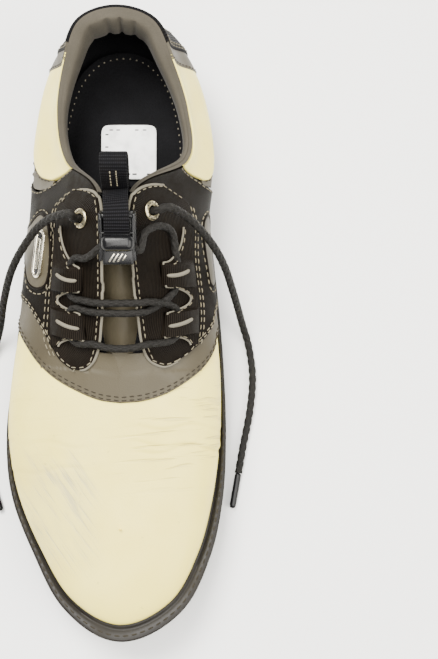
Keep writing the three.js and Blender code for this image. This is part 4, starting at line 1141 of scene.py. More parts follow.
@dataclass
class Forepart(SubAssembly):
    """The cream vamp over the toes and the taupe apron that is sewn on it in a wide curve."""

    vamp_height: float = -0.8
    apron_height: float = 0.1
    edge_stitch: tuple[float, float] = (1.5, 3.3)

    def build(self) -> None:
        """Make the vamp, the apron and its two rows of stitches."""
        self._vamp()
        self._apron()

    def _relief(self, s: Array, t: Array) -> Array:
        """Press the flex folds into the vamp.

        Each fold is a Gaussian valley across the foot with a low Gaussian ridge beside it, strongest
        near the inner side, and its line wanders with a slow sine.
        """
        p = LAST.point(s, t)
        x, y = p[..., 0], p[..., 1]
        folds = np.zeros(s.shape)
        for place, depth, lean, side in ((-69, 0.55, 0.10, 1), (-63, 0.5, -0.04, 1), (-57, 0.4, 0.05, 1),
                                         (-74, 0.3, 0.06, -1), (-66, 0.25, -0.08, -1)):
            line = place + lean * x + 1.1 * np.sin(0.23 * x + place)
            reach = smoothstep(side * x, -2, 30)
            away = y - line
            folds += depth * reach * (0.5 * np.exp(-((away - 2.2) / 2.0) ** 2) - np.exp(-(away / 0.8) ** 2))
        return folds * smoothstep(t, 0.05, 0.2) * (1 - smoothstep(t, 0.9, 1.0))

    def _vamp(self) -> None:
        """Make the vamp as one sheet from the lateral to the medial side."""
        u = shares(150)
        grids = []
        for rails in (LATERAL, MEDIAL):
            patch = Patch(rails.side, [rails.saddle_front[0], (12, LOW)], [(7, 1), (12, 1)],
                          rails.saddle_front, [(12, LOW), (12, 1)])
            grids.append(patch.spots(u[:, None], shares(90)[None]))
        s = np.vstack([grids[0][0], grids[1][0][-2::-1]])
        t = np.vstack([grids[0][1], grids[1][1][-2::-1]])
        base, normal = LAST.point(s, t), LAST.normal(s, t)
        height = self.vamp_height + self._relief(s, t)
        outer = base + normal * height[..., None]
        inner = base + normal * (self.vamp_height - 0.7)
        uv = lengths(base)
        self.make("vamp", shell(outer, inner, uv), CREAM_WORN, slot="cream_leather")

    def _apron(self) -> None:
        """Make the apron, with a bridge over the foot of the throat, and sew its front edge twice."""
        pieces, rows = [], []
        for rails in (LATERAL, MEDIAL):
            back = [(s - 0.12, t) for s, t in rails.saddle_front[:-1]] + [(6.64, 0.8), (6.6, 1)]
            patch = Patch(rails.side, [back[0], rails.vamp_edge[0]], [back[-1], rails.vamp_edge[-1]],
                          back, rails.vamp_edge)
            pieces.append(patch.sheet(self.apron_height, self.vamp_height, -0.85, 20, 140, "r", 0.8))
            for inset in self.edge_stitch:
                rows.append(sewn(patch.line("r", inset), self.apron_height))
        s = np.linspace(6.57, 7.08, 16)[:, None]
        share = np.linspace(-0.12, 1.12, 24)[None, :, None]
        sheets = []
        for height in (self.apron_height - 0.05, -0.85):
            left, right = LAST.over(s, 1, height), LAST.over(ROUND - s, 1, height)
            sheets.append(left + (right - left) * share)
        pieces.append(shell(*sheets, lengths(sheets[0])))
        self.make("apron", together(pieces), TAUPE, slot="taupe_leather")
        self.make("apron_stitching", together(rows), TAUPE_THREAD)


@dataclass
class Quarter(SubAssembly):
    """One side of the upper from the heel to the toe cap: quarter, trim, saddle, facing and its loops."""

    rails: SideRails
    saddle_height: float = 0.75
    facing_height: float = 1.5
    loop_rise: float = 4.6
    scoop_depth: float = 0.78
    scoop_before: float = 0.42
    scoop_after: float = 0.22
    thread: Stitching = field(default_factory=Stitching)

    @property
    def tag(self) -> str:
        """Return the side's name."""
        return self.rails.side.value

    def build(self) -> None:
        """Make every piece of the side."""
        self._rear_quarter()
        self._trim()
        self._saddle()
        self._window()
        self._facing()
        self._loops()
        self._eyelet()

    def _patch(self, bottom: Spots, top: Spots, left: Spots, right: Spots) -> Patch:
        """Return a patch on this side."""
        return Patch(self.rails.side, bottom, top, left, right)

    def _seam(self, patch: Patch, edge: str, inset: float, height: float, *part: float) -> Surface:
        """Sew along part of one edge of a patch."""
        return sewn(patch.line(edge, inset, *part), height, self.thread)

    def _over(self, spots: Array, height: float) -> Array:
        """Return points over the last for spots in the lateral numbering."""
        return LAST.over(self.rails.side.station(spots[:, 0]), spots[:, 1], height)

    def _rear_quarter(self) -> None:
        """Make the cream quarter, thick and soft, with a roll along its free lower edge."""
        rails = self.rails
        low = [(1.9, 0.18), *rails.cream_low[1:]]
        patch = self._patch(low, [(1.9, 1), rails.cream_front[-1]], [low[0], (1.9, 1)], rails.cream_front)
        sheet = patch.sheet(0.9, -0.1, -0.9, 70, 50, "br", 1.6)
        self.make(f"rear_quarter_{self.tag}", sheet, CREAM, slot="cream_leather")

    def _trim(self) -> None:
        """Make the taupe trim under the quarter, with moulded slanting ribs on the outer side."""
        rails = self.rails
        low = [(rails.trim_low[0][0] - 0.1, LOW), *rails.trim_low[1:]]
        high = [(s, t + 0.03) for s, t in rails.cream_low]
        end_s, end_t = rails.trim_end[1]
        patch = self._patch(low, [(1.9, 0.21), *high[1:]], [(1.9, LOW), (1.9, 0.21)],
                            [rails.trim_low[-1], (end_s + 0.05, end_t), high[-1]])

        def ribs(s: Array, t: Array) -> Array:
            """Raise slanting ribs: the positive half of a sine of station less rise, in one zone."""
            around = rails.side.station(s)
            zone = smoothstep(around, 2.9, 3.05) * (1 - smoothstep(around, 3.95, 4.1))
            wave = np.clip(np.sin(2 * np.pi * (around * 4.6 - t * 3.0)), 0, 1) ** 1.5
            return 0.75 * zone * wave * smoothstep(t, 0.08, 0.16)

        relief = ribs if rails.side is Side.LATERAL else None
        sheet = patch.sheet(-0.1, -0.8, -0.9, 90, 26, "", relief=relief)
        self.make(f"quarter_trim_{self.tag}", sheet, TAUPE, slot="taupe_leather")
        row = sewn(offset_line(rails.cream_low[1:], rails.side, -2.0), -0.1, self.thread)
        self.make(f"trim_stitching_{self.tag}", row, TAUPE_THREAD)

    def _saddle(self) -> None:
        """Make the black saddle over the instep, sewn with pale thread along its edges."""
        rails = self.rails
        lobe = (6.84, 0.73)
        patch = self._patch([rails.saddle_back[0], rails.saddle_front[0]],
                            [rails.saddle_back[-1], (4.97, 0.995), (6, 0.95), (6.5, 0.85), lobe],
                            rails.saddle_back, [*rails.saddle_front[:-1], lobe])
        sheet = patch.sheet(self.saddle_height, -0.3, -0.9, 110, 80, "lr", 0.9)
        self.make(f"saddle_{self.tag}", sheet, BLACK_PLAIN, slot="black_leather")
        front_end = 0.80 if rails.side is Side.LATERAL else 0.84
        rows = [self._seam(patch, "l", 1.7, self.saddle_height)]
        rows += [self._seam(patch, "r", inset, self.saddle_height, 0, front_end) for inset in (1.5, 3.1)]
        start = 1 if rails.side is Side.LATERAL else 2
        for rise in (-1.3, -3.1):
            rows.append(sewn(offset_line(rails.facing_out[start:-1], rails.side, rise),
                             self.saddle_height, self.thread))
        self.make(f"saddle_stitching_{self.tag}", together(rows), PALE_THREAD)

    def _window(self) -> None:
        """Make the taupe window in the saddle, its rolled black border and its stitches.

        The window is a radial grid: each point lies a share of the way from the centre to the outline.
        """
        rails = self.rails
        outline = Rail(rails.window, closed=True).at(shares(121)[:-1])
        centre = outline.mean(axis=0)
        share = np.concatenate([np.linspace(0.001, 0.9, 20), [0.94, 0.97, 0.99, 1.0]])
        spots = centre + (outline[:, None] - centre) * share[None, :, None]
        s, t = rails.side.station(spots[..., 0]), spots[..., 1]
        soft = np.sqrt(np.clip(1 - ((share - 0.9) / 0.1).clip(0) ** 2, 0, 1))
        height = 0.55 + 0.65 * soft * np.ones(s.shape)
        base, normal = LAST.point(s, t), LAST.normal(s, t)
        outer, inner = base + normal * height[..., None], base + normal * 0.3
        rings = np.concatenate([outer, inner[:, ::-1]], axis=1).swapaxes(0, 1)
        self.make(f"window_insert_{self.tag}", capped(rings), TAUPE, slot="taupe_leather")
        closed = np.vstack([outline, outline[:1]])
        rim_line = self._over(closed, 0.85)
        roll = rim_line[:-1, None] + self._round(rim_line[:-1], closed[:-1], 0.75)
        self.make(f"window_border_{self.tag}", ring(roll), BLACK_RIBBED)
        wide = closed + unit((closed - centre) * Rail.SCALE) * 2.0 / Rail.SCALE
        row = sewn((rails.side.station(wide[:, 0]), np.clip(wide[:, 1], 0.06, 1)),
                   self.saddle_height, self.thread)
        self.make(f"window_stitching_{self.tag}", row, PALE_THREAD)

    def _round(self, line: Array, spots: Array, radius: float) -> Array:
        """Return the offsets of a round section about a closed line on the last."""
        up = LAST.normal(self.rails.side.station(spots[:, 0]), spots[:, 1])
        ahead = unit(np.roll(line, -1, axis=0) - np.roll(line, 1, axis=0))
        across = np.cross(up, ahead)
        flat = circle(radius, 8)
        return flat[None, :, :1] * across[:, None] + 0.7 * flat[None, :, 1:] * up[:, None]

    def _facing(self) -> None:
        """Make the facing beside the throat, its grey piping and the stitches inside it."""
        rails = self.rails
        patch = self._patch(rails.facing_out, rails.facing_in, rails.facing_top, rails.facing_end)
        sheet = patch.sheet(self.facing_height, self.saddle_height, 0.3, 110, 50, "btlr", 0.7)
        self.make(f"facing_{self.tag}", sheet, BLACK_RIBBED, slot="black_leather")
        rim = [*rails.facing_top[:-1], *rails.facing_in[:-1], *rails.facing_end[::-1], rails.facing_out[-1]]
        spots = Rail(rim).at(shares(150))
        line = self._over(spots, 0.75)
        self.make(f"facing_piping_{self.tag}", carried(line, circle(0.75, 10)), GREY_PIPING)
        seams = [("t", 2.4, 0.04, 0.97), ("r", 2.0, 0.05, 0.95), ("l", 1.9, 0.1, 0.95), ("b", 1.5, 0.0, 0.2),
                 ("b", 1.5, 0.86, 1.0)]
        rows = [self._seam(patch, edge, inset, self.facing_height, *part) for edge, inset, *part in seams]
        self.make(f"facing_stitching_{self.tag}", together(rows), PALE_THREAD)

    def _reach(self, s: Array) -> Array:
        """Return how far the loop strip reaches from its outer seam to its inner edge, 0.22 to 1.

        It is 1 on the two tabs; between them, and beyond them at both ends, a half ellipse is scooped
        out.
        """
        (a, b), (c, d) = self.rails.tabs
        end, start = d + self.scoop_after, a - self.scoop_before
        scoops = ((0.5 * (b + c), 0.5 * (c - b)), (end, end - d), (start, a - start))
        scoop = sum(np.sqrt(np.clip(1 - ((s - place) / half) ** 2, 0, 1)) for place, half in scoops)
        return 1 - self.scoop_depth * np.clip(scoop, 0, 1)

    def _loops(self) -> None:
        """Make the loop strip: one ribbed piece whose two tabs arch over the lace.

        Over the width of a tab the height follows a sine to the power 0.55 from the seam to the inner
        edge, so the tab rises, runs level and turns down sharply.
        """
        rails = self.rails
        (a, b), (c, d) = rails.tabs
        t0, t1 = rails.tab_rises
        s = np.linspace(a - self.scoop_before + 0.02, d + self.scoop_after - 0.02, 190)
        v = np.concatenate([np.linspace(0, 0.86, 34), np.linspace(0.88, 1, 12)])
        reach = self._reach(s)
        on_tab = smoothstep(reach, 0.55, 0.97)
        rise = t0 - 0.005 + (t1 - t0 + 0.005) * reach[:, None] * v[None]
        arch = np.sin(np.pi * v**1.25) ** 0.55
        base_height = self.facing_height + 0.25
        height = base_height + self.loop_rise * on_tab[:, None] * arch[None]
        around = rails.side.station(s[:, None] + 0 * rise)
        outer = LAST.over(around, rise, height + 0.95)
        inner = LAST.over(around, rise, height)
        uv = lengths(outer)
        self.make(f"lace_loop_strip_{self.tag}", shell(outer, inner, uv), BLACK_RIBBED,
                  slot="black_leather",
                  replaces=[f"lace_loop_upper_{self.tag}", f"lace_loop_lower_{self.tag}"], sharp=55)
        self._loop_edges(s, v, outer, around, rise)
        self._bars()

    def _loop_edges(self, s: Array, v: Array, outer: Array, around: Array, rise: Array) -> None:
        """Run piping along the scooped inner edge, and stitches a little way inside it."""
        (a, b), (c, d) = self.rails.tabs
        piping, rows = [], []
        for low, high in ((s[0], a), (b, c), (d, s[-1])):
            here = (s >= low - 0.02) & (s <= high + 0.02)
            piping.append(carried(outer[here, -4] + [0, 0, 0.1], circle(0.5, 8)))
            line = outer[here, np.searchsorted(v, 0.74)]
            normals = LAST.normal(around[here, 0], rise[here, -1])
            rows.append(self.thread.row(line, normals))
        self.make(f"loop_piping_{self.tag}", together(piping), GREY_PIPING)
        self.make(f"loop_stitching_{self.tag}", together(rows), PALE_THREAD)

    def _bars(self) -> None:
        """Lay a thick pale embroidered bar over each tab, from the seam side to the fold."""
        rails = self.rails
        t0, t1 = rails.tab_rises
        bars = []
        for a, b in rails.tabs:
            v = np.linspace(0.3, 0.93, 40)
            lean = -0.06 * (1 - shares(40)) ** 2
            arch = np.sin(np.pi * v**1.25) ** 0.55
            height = self.facing_height + 0.25 + 0.95 + self.loop_rise * arch
            s = rails.side.station(0.5 * (a + b) + lean)
            path = LAST.over(s, t0 + (t1 - t0) * v, height)
            swell = np.sqrt(np.clip(1 - np.linspace(-1, 1, 40) ** 8, 0.04, 1))
            rib = 1 + 0.09 * np.cos(np.linspace(0, 40 * np.pi, 40))
            section = circle(1.0, 12)[None] * (swell * rib)[:, None, None] * 0.95
            bars.append(carried(path, section))
        self.make(f"loop_bars_{self.tag}", together(bars), GREY_PIPING)

    def _eyelet(self) -> None:
        """Make the eyelet: a turned ring with small raised marks round its flange."""
        rails = self.rails
        s, t = rails.eyelet
        turn, place = stand(float(rails.side.station(np.array(s))), t)
        profile = [(2.3, -1.6), (2.7, -1.6), (2.7, 1.5), (4.75, 1.55), (4.6, 2.2), (3.6, 2.75), (2.45, 2.5)]
        ring_piece = turned(profile, 56).moved(turn, place)
        self.make(f"eyelet_{self.tag}", ring_piece, BRASS, slot="chrome_trim")
        marks = []
        for k in range(14):
            spin = turn @ about_z(2 * np.pi * k / 14)
            mark = rounded_block((1.0, 0.32 if k % 3 else 0.7, 0.3), 0.12, 2)
            marks.append(mark.moved(spin, place + spin @ [3.75, 0, 2.62]))
        self.make(f"eyelet_marks_{self.tag}", together(marks), INK)


@dataclass
class Badge(SubAssembly):
    """The plated bar on the outer window: a raised rim round a sunk field with one plain bar."""

    start: tuple[float, float] = (5.15, 0.49)
    end: tuple[float, float] = (5.66, 0.47)
    half_width: float = 2.9
    height: float = 1.5

    def build(self) -> None:
        """Make the rim, the field and the bar."""
        a, b = LAST.over(*self.start, 0.0), LAST.over(*self.end, 0.0)
        middle = np.add(self.start, self.end) / 2
        y = unit(b - a)
        z = unit(LAST.normal(*middle) - y * (LAST.normal(*middle) @ y))
        x = np.cross(y, z)
        turn, place = np.stack([x, y, z], axis=-1), LAST.over(*middle, self.height)
        half_length = np.linalg.norm(b - a) / 2
        angle = full_turn(96)
        straight = half_length - self.half_width
        out = np.stack([np.cos(angle), np.sin(angle), 0 * angle], axis=-1)
        line = self.half_width * out
        line[:, 0] *= 1 - 0.22 * np.sin(angle)
        line[:, 1] += straight * np.sign(np.sin(angle)) * (np.abs(np.sin(angle)) > 1e-9)
        section = circle(0.85, 12)
        rim = line[:, None] + section[None, :, :1] * out[:, None] + section[None, :, 1:] * [0, 0, 1.15]
        self.make("side_badge", ring(rim).moved(turn, place), CHROME, slot="chrome_trim")
        field_piece = rounded_block((2 * self.half_width, 2 * half_length - 1.2, 0.9), 0.4, 4)
        self.make("badge_field", field_piece.moved(turn, place - z * 0.25), INK)
        bar = rounded_block((2.0, 2 * half_length - 7.5, 0.9), 0.4, 4)
        self.make("badge_ribs", bar.moved(turn, place + z * 0.35), CHROME)


@dataclass
class Heel(SubAssembly):
    """The back of the upper: taupe bands, the black ribbed overlay, and the tape on the rim."""

    edge: float = 1.66
    band_end: float = 2.06

    def build(self) -> None:
        """Make the bands, the overlay, their stitches and the rim tape."""
        for side in Side:
            patch = self._upright(side, self.edge - 0.15, self.band_end)
            sheet = patch.sheet(1.3, 0.2, -0.9, 8, 60, "r", 0.8)
            self.make(f"heel_band_{side.value}", sheet, TAUPE, slot="taupe_leather")
            row = sewn(patch.line("r", 1.2), 1.3)
            self.make(f"heel_band_stitching_{side.value}", row, TAUPE_THREAD)
        overlay = self._upright(Side.LATERAL, -self.edge, self.edge)
        sheet = overlay.sheet(2.1, 1.2, -0.9, 120, 60, "lr", 0.9)
        self.make("heel_overlay", sheet, HEEL_TAPE, slot="black_leather")
        rows = [sewn(overlay.line(edge, inset), 2.1) for edge in "lr" for inset in (1.5, 3.2, 12.0)]
        self.make("heel_stitching", together(rows), PALE_THREAD)
        self._rim_tape()

    def _upright(self, side: Side, start: float, end: float) -> Patch:
        """Return the patch between two stations, from the sole to the rim."""
        return Patch(side, [(start, LOW), (end, LOW)], [(start, 1), (end, 1)], [(start, LOW), (start, 1)],
                     [(end, LOW), (end, 1)])

    def _rim_tape(self) -> None:
        """Make the ribbed tape that rolls over the rim behind the ankle.

        It is a flattened tube along the rim whose radius swells and shrinks with every rib.
        """
        s = np.linspace(-self.edge, self.edge, 260)
        path = LAST.over(s, 1.0, 0.3) + [0, 0, -0.2]
        length = running_length(path)
        swell = 1 + 0.05 * np.sin(2 * np.pi * length / 1.5)
        closed_end = np.clip((length[-1] / 2 - np.abs(length - length[-1] / 2)) / 1.2, 0, 1) ** 0.5
        size = (swell * (0.25 + 0.75 * closed_end))[:, None, None]
        section = circle(1.0, 14)[None] * [1.5, 1.3] * size
        self.make("topline_binding", carried(path, section, start=LAST.normal(0.0, 0.9)), WEBBING,
                  slot="black_webbing")


# ---- Inside and tongue ----


@dataclass
class Inside(SubAssembly):
    """What the foot meets: padded collar, lower lining in painted shade, footbed and its printed label."""

    footbed_top: float = 6.6
    label_half: float = 14.0
    label_place: tuple[float, float] = (3.0, 86.0)

    def build(self) -> None:
        """Make the collar, lining, footbed and label."""
        self._collar()
        self._lower_lining()
        self._footbed()
        self._label()

    def _collar(self) -> None:
        """Make the padded collar.

        A profile of rise, depth and lift is carried round the rim: over the leather's edge, along the
        top and down the inside with a soft swell. Gaussian folds gather it at the heel centre.
        """
        face = smooth_line(np.array([
            [0.95, -1.05, 0], [1, -0.9, 0.7], [1, -2.0, 2.0], [1, -4.2, 2.5], [1, -6.2, 1.4], [0.95, -7.7, 0],
            [0.83, -8.6, 0], [0.7, -7.6, 0], [0.58, -5.6, 0], [0.5, -4.3, 0]]), samples=7)
        back = smooth_line(np.array([
            [0.94, -1.3, 0], [0.95, -1.5, 0], [0.95, -2.0, 0], [0.94, -2.6, 0], [0.93, -2.9, 0],
            [0.88, -2.9, 0], [0.8, -2.9, 0], [0.7, -2.9, 0], [0.58, -2.9, 0], [0.5, -2.9, 0]]), samples=7)
        s = np.linspace(-4.93, 4.93, 300)
        front = smoothstep(np.abs(s), 4.1, 4.93)
        thin = (1 - 0.36 * smoothstep(np.abs(s), 1.6, 3.4) - 0.22 * front)[:, None]
        folds = sum(depth * np.exp(-((s - place) / width) ** 2)
                    for place, depth, width in ((-0.55, 1.1, 0.10), (-0.12, 1.5, 0.07), (0.30, 1.2, 0.09),
                                                (0.85, 0.6, 0.12)))[:, None]
        inner_side = smoothstep(-face[:, 1], 4.5, 7.0)[None]
        sheets = []
        for line, fold in ((face, 0.9 * folds * inner_side), (back, 0.0)):
            t = np.broadcast_to(line[None, :, 0], (len(s), len(line)))
            depth = (line[None, :, 1] + fold) * np.where(line[None, :, 1] < -3, thin, 1)
            lift = line[None, :, 2] * (1 - 0.5 * front)[:, None]
            sheets.append(LAST.over(s[:, None] + 0 * t, t, depth))
            sheets[-1][..., 2] += lift
        uv = lengths(sheets[0])
        collar = self.make("collar_lining", shell(*sheets, uv), GREY_LINING, slot="lining_textile")

    def _lower_lining(self) -> None:
        """Make the dark lining under the collar, which rises to the throat in front of it; its black is
        painted shade inside the shoe, where the grey lining turns in and down.
        """
        s = np.linspace(-7, 7, 220)[:, None]
        top = 0.6 + 0.33 * smoothstep(np.abs(s), 4.3, 5.2)
        t = LOW + (top - LOW) * shares(40)[None]
        s = s + 0 * t
        outer, inner = LAST.over(s, t, -3.0), LAST.over(s, t, -4.05)
        # Painted shade: this black sheet stands for the shade inside the shoe below the grey collar.
        self.make("lower_lining", shell(outer, inner), BLACK_CLOTH, slot="lining_textile", replaces=())

    def _slab_point(self, s: Array, r: Array, inset: float, top: Array) -> Array:
        """Return points of a slab's upper face: the plan with a height over the sole added."""
        p = LAST.plan(s, r, -inset + 0 * s)
        p[..., 2] = LAST.sole_top(p[..., 1]) + top
        return p

    def _footbed(self) -> None:
        """Make the cushioned footbed, cupped up at its edge, and the dotted line round its heel."""
        s = np.linspace(0, ROUND, 241)[:-1, None]
        r = np.concatenate([np.linspace(0, 0.8, 14), np.linspace(0.82, 1, 14)])[None]
        toe = 5 * smoothstep(2.4 - np.abs(s - 12), 0, 1.6)
        inset = 5.2 + toe
        cup = 2.4 * smoothstep(r, 0.78, 1.0)
        dip = -0.7 * np.exp(-((r - 0.25) / 0.3) ** 2)
        s2, r2 = np.broadcast_arrays(s, r)
        top = self._slab_point(s2, r2, inset + 0 * r2, self.footbed_top + cup + dip)
        low = self._slab_point(s2, r2[:, ::-1], inset + 0.4 + 0 * r2, 2.3 + 0 * r2)
        grid = np.concatenate([top, low], axis=1)
        self.make("footbed", wrapped(grid), BLACK_CLOTH, slot="black_textile", weld=True)
        run = np.linspace(-3.6, 3.6, 300)
        line = self._slab_point(run, 0.9 + 0 * run, 5.2, self.footbed_top + 1.05)
        up = np.broadcast_to([0.0, 0.0, 1.0], line.shape)
        self.make("footbed_dots", Stitching(1.1, 2.3, 0.4).row(line, up), GREY_PIPING)

    def _label(self) -> None:
        """Make the white label, a rounded square, with plain bars for its print.

        The outline is a superellipse of power 9, and the sheet follows the footbed's slope.
        """
        x0, y0 = self.label_place
        angle = full_turn(120)
        c, n = np.cos(angle), np.sin(angle)
        edge = self.label_half / (np.abs(c) ** 9 + np.abs(n) ** 9) ** (1 / 9)
        r = np.concatenate([np.linspace(0, 0.98, 12), [1.0, 1.0, 0.98, 0.0]])
        lift = np.concatenate([np.full(12, 0.5), [0.35, 0.1, 0.0, 0.0]])
        x = x0 + edge[:, None] * c[:, None] * r
        y = y0 + edge[:, None] * n[:, None] * r
        z = LAST.sole_top(y) + self.footbed_top + 0.62 + lift
        grid = np.stack([x, y, z], axis=-1)
        self.make("footbed_label", wrapped(grid), LABEL, slot="label_print", weld=True)
        marks = []
        spots = [(-11.2, y, 1.6, 0.7) for y in (-9, -6.5, -4, 0, 2.5, 9)]
        spots += [(x, -11.5, w, 0.8) for x, w in ((-4, 2.4), (-0.5, 2.6), (3, 2.2), (10, 1.6), (11.5, 0.8))]
        spots += [(x, 11.4, 1.8, 0.6) for x in (-9, -5.5, 4, 8)]
        for dx, dy, wide, deep in spots:
            place = (x0 + dx, y0 + dy, LAST.sole_top(np.array(y0 + dy)) + self.footbed_top + 1.17)
            marks.append(rounded_block((wide, deep, 0.14), 0.05, 2).moved(np.eye(3), place))
        self.make("label_marks", together(marks), INK)


@dataclass
class Tongue(SubAssembly):
    """The tongue with its pad and top binding, and the webbing pull loop that stands on it."""

    depth: float = -10.0
    loop_place: tuple[float, float, float] = (-4.6, 48.6, 90.4)
    loop_width: float = 12.5
    softening: int = 10

    def build(self) -> None:
        """Make the tongue, its pad, its binding and the pull loop."""
        self.make("tongue", self._layer(self.depth - 0.4, -1.2, 4.84, 6.94, 0.68), TAUPE, Body.TONGUE,
                  slot="taupe_leather")
        pad = self.make("tongue_pad", self._layer(self.depth - 1.7, -2.8, 4.86, 6.9, 0.68), GREY_LINING,
                        Body.TONGUE, slot="foam")
        self.make("tongue_binding", self._layer(self.depth, -3.4, 4.52, 4.86, 0.68), HEEL_TAPE, Body.TONGUE,
                  slot="black_webbing")
        self._seam()
        self._pull_loop()

    def _sheet(self, height: float, first: float, end: float, wing: float) -> Array:
        """Return the tongue's surface.

        Cross-sections run up one side of the last, over the throat and down the other side; past the
        throat's top the last section is carried on back and up. A moving average softens them.
        """
        s = np.linspace(first, end, 110)[:, None]
        beyond = np.maximum(0, 5 - s)
        base = np.maximum(5, s)
        low = wing + (0.88 - wing) * np.minimum(1, beyond / 0.45)
        t = low + (1 - low) * shares(22)[None]
        base = base + 0 * t
        shift = np.stack([0 * t, 26 * beyond + 0 * t, 13 * beyond + 0 * t], axis=-1)
        left = LAST.over(base, t, height) + shift
        right = (LAST.over(ROUND - base, t, height) + shift)[:, ::-1]
        u = shares(8)[1:-1][None, :, None]
        middle = left[:, -1:] * (1 - u) + right[:, :1] * u
        gap = np.linalg.norm(left[:, -1:] - right[:, :1], axis=-1, keepdims=True)
        middle[..., 2:] += 0.24 * gap * u * (1 - u)
        line = np.concatenate([left, middle, right], axis=1)
        for _ in range(self.softening):
            line[:, 1:-1] = (line[:, :-2] + line[:, 1:-1] * 2 + line[:, 2:]) / 4
        return line

    def _layer(self, height: float, depth: float, first: float, end: float, wing: float) -> Surface:
        """Return one layer of the tongue, depth millimetres thick along Z and its own normal."""
        face = self._sheet(height, first, end, wing)
        normal = face_normals(face)
        u = np.linspace(0, 1, face.shape[0])[:, None]
        v = np.linspace(0, 1, face.shape[1])[None]
        rim = np.minimum(np.minimum(u, 1 - u) * 60, np.minimum(v, 1 - v) * 30)
        soft = np.sqrt(1 - (1 - np.clip(rim, 0, 1)) ** 2)[..., None]
        outer = face + normal * (soft - 1) * abs(depth) * 0.45
        inner = face + normal * depth * (0.55 + 0.45 * soft)
        uv = lengths(face)
        return shell(outer, inner, uv)

    def _seam(self) -> None:
        """Sew the binding to the tongue with one row of dark stitches."""
        face = self._sheet(self.depth, 4.9, 5.2, 0.7)
        row = Stitching(2.2, 1.0, 0.3).row(face[0, 3:-3], face_normals(face)[0, 3:-3])
        self.make("tongue_stitching", row, TAUPE_THREAD, Body.TONGUE)

    def _pull_loop(self) -> None:
        """Make the pull loop: flat ribbed webbing carried round a closed teardrop."""
        drop = np.array([[1.9, 1.7], [4.2, 10.6], [7.6, 17.3], [11, 19.6], [14.5, 18.7], [16.2, 15],
                         [14.8, 9.4], [10.6, 5.5]])
        line = resample(smooth_line(drop, closed=True), 181)[:-1]
        ahead = unit(np.roll(line, -1, axis=0) - np.roll(line, 1, axis=0))
        out = np.stack([-ahead[:, 1], ahead[:, 0]], axis=-1)
        half, thick = self.loop_width / 2, 0.8
        across = np.concatenate([np.linspace(-half, half, 26), np.linspace(half, -half, 26)])
        rise = np.concatenate([np.full(26, thick), np.full(26, -thick)])
        rise *= (1 - np.clip((np.abs(across) - half + 0.6) / 0.6, 0, 1) ** 2 * 0.8)
        wave = 1 + 0.12 * np.sin(2 * np.pi * np.arange(180) / 180 * 34)[:, None]
        grid = np.zeros((180, 52, 3))
        grid[..., 0] = across[None] + half
        grid[..., 1:] = line[:, None] + out[:, None] * (rise[None] * wave)[..., None]
        length = running_length(line)
        uv = np.stack(np.broadcast_arrays(length[:, None], across[None]), axis=-1)
        loop = ring(grid + np.array(self.loop_place), uv)
        self.make("pull_loop", loop, WEBBING, Body.PULL_LOOP, slot="black_webbing")
        front = slice(62, 24, -1)
        up, run = np.zeros((2, 38, 3))
        up[:, 1:] = -out[front] * np.sign(out[43, 0])
        run[:, 1:] = line[front] + up[:, 1:] * thick * 1.05
        rows = []
        for x, thread in ((half - 1.6, Stitching(1.5, 0.5, 0.3)), (half + 1.2, Stitching(0.9, 0.4, 0.3))):
            rows.append(thread.row(run + [x, 0, 0] + self.loop_place, up))
        self.make("pull_loop_marks", together(rows), PALE_THREAD, Body.PULL_LOOP)


# ---- Lacing ----


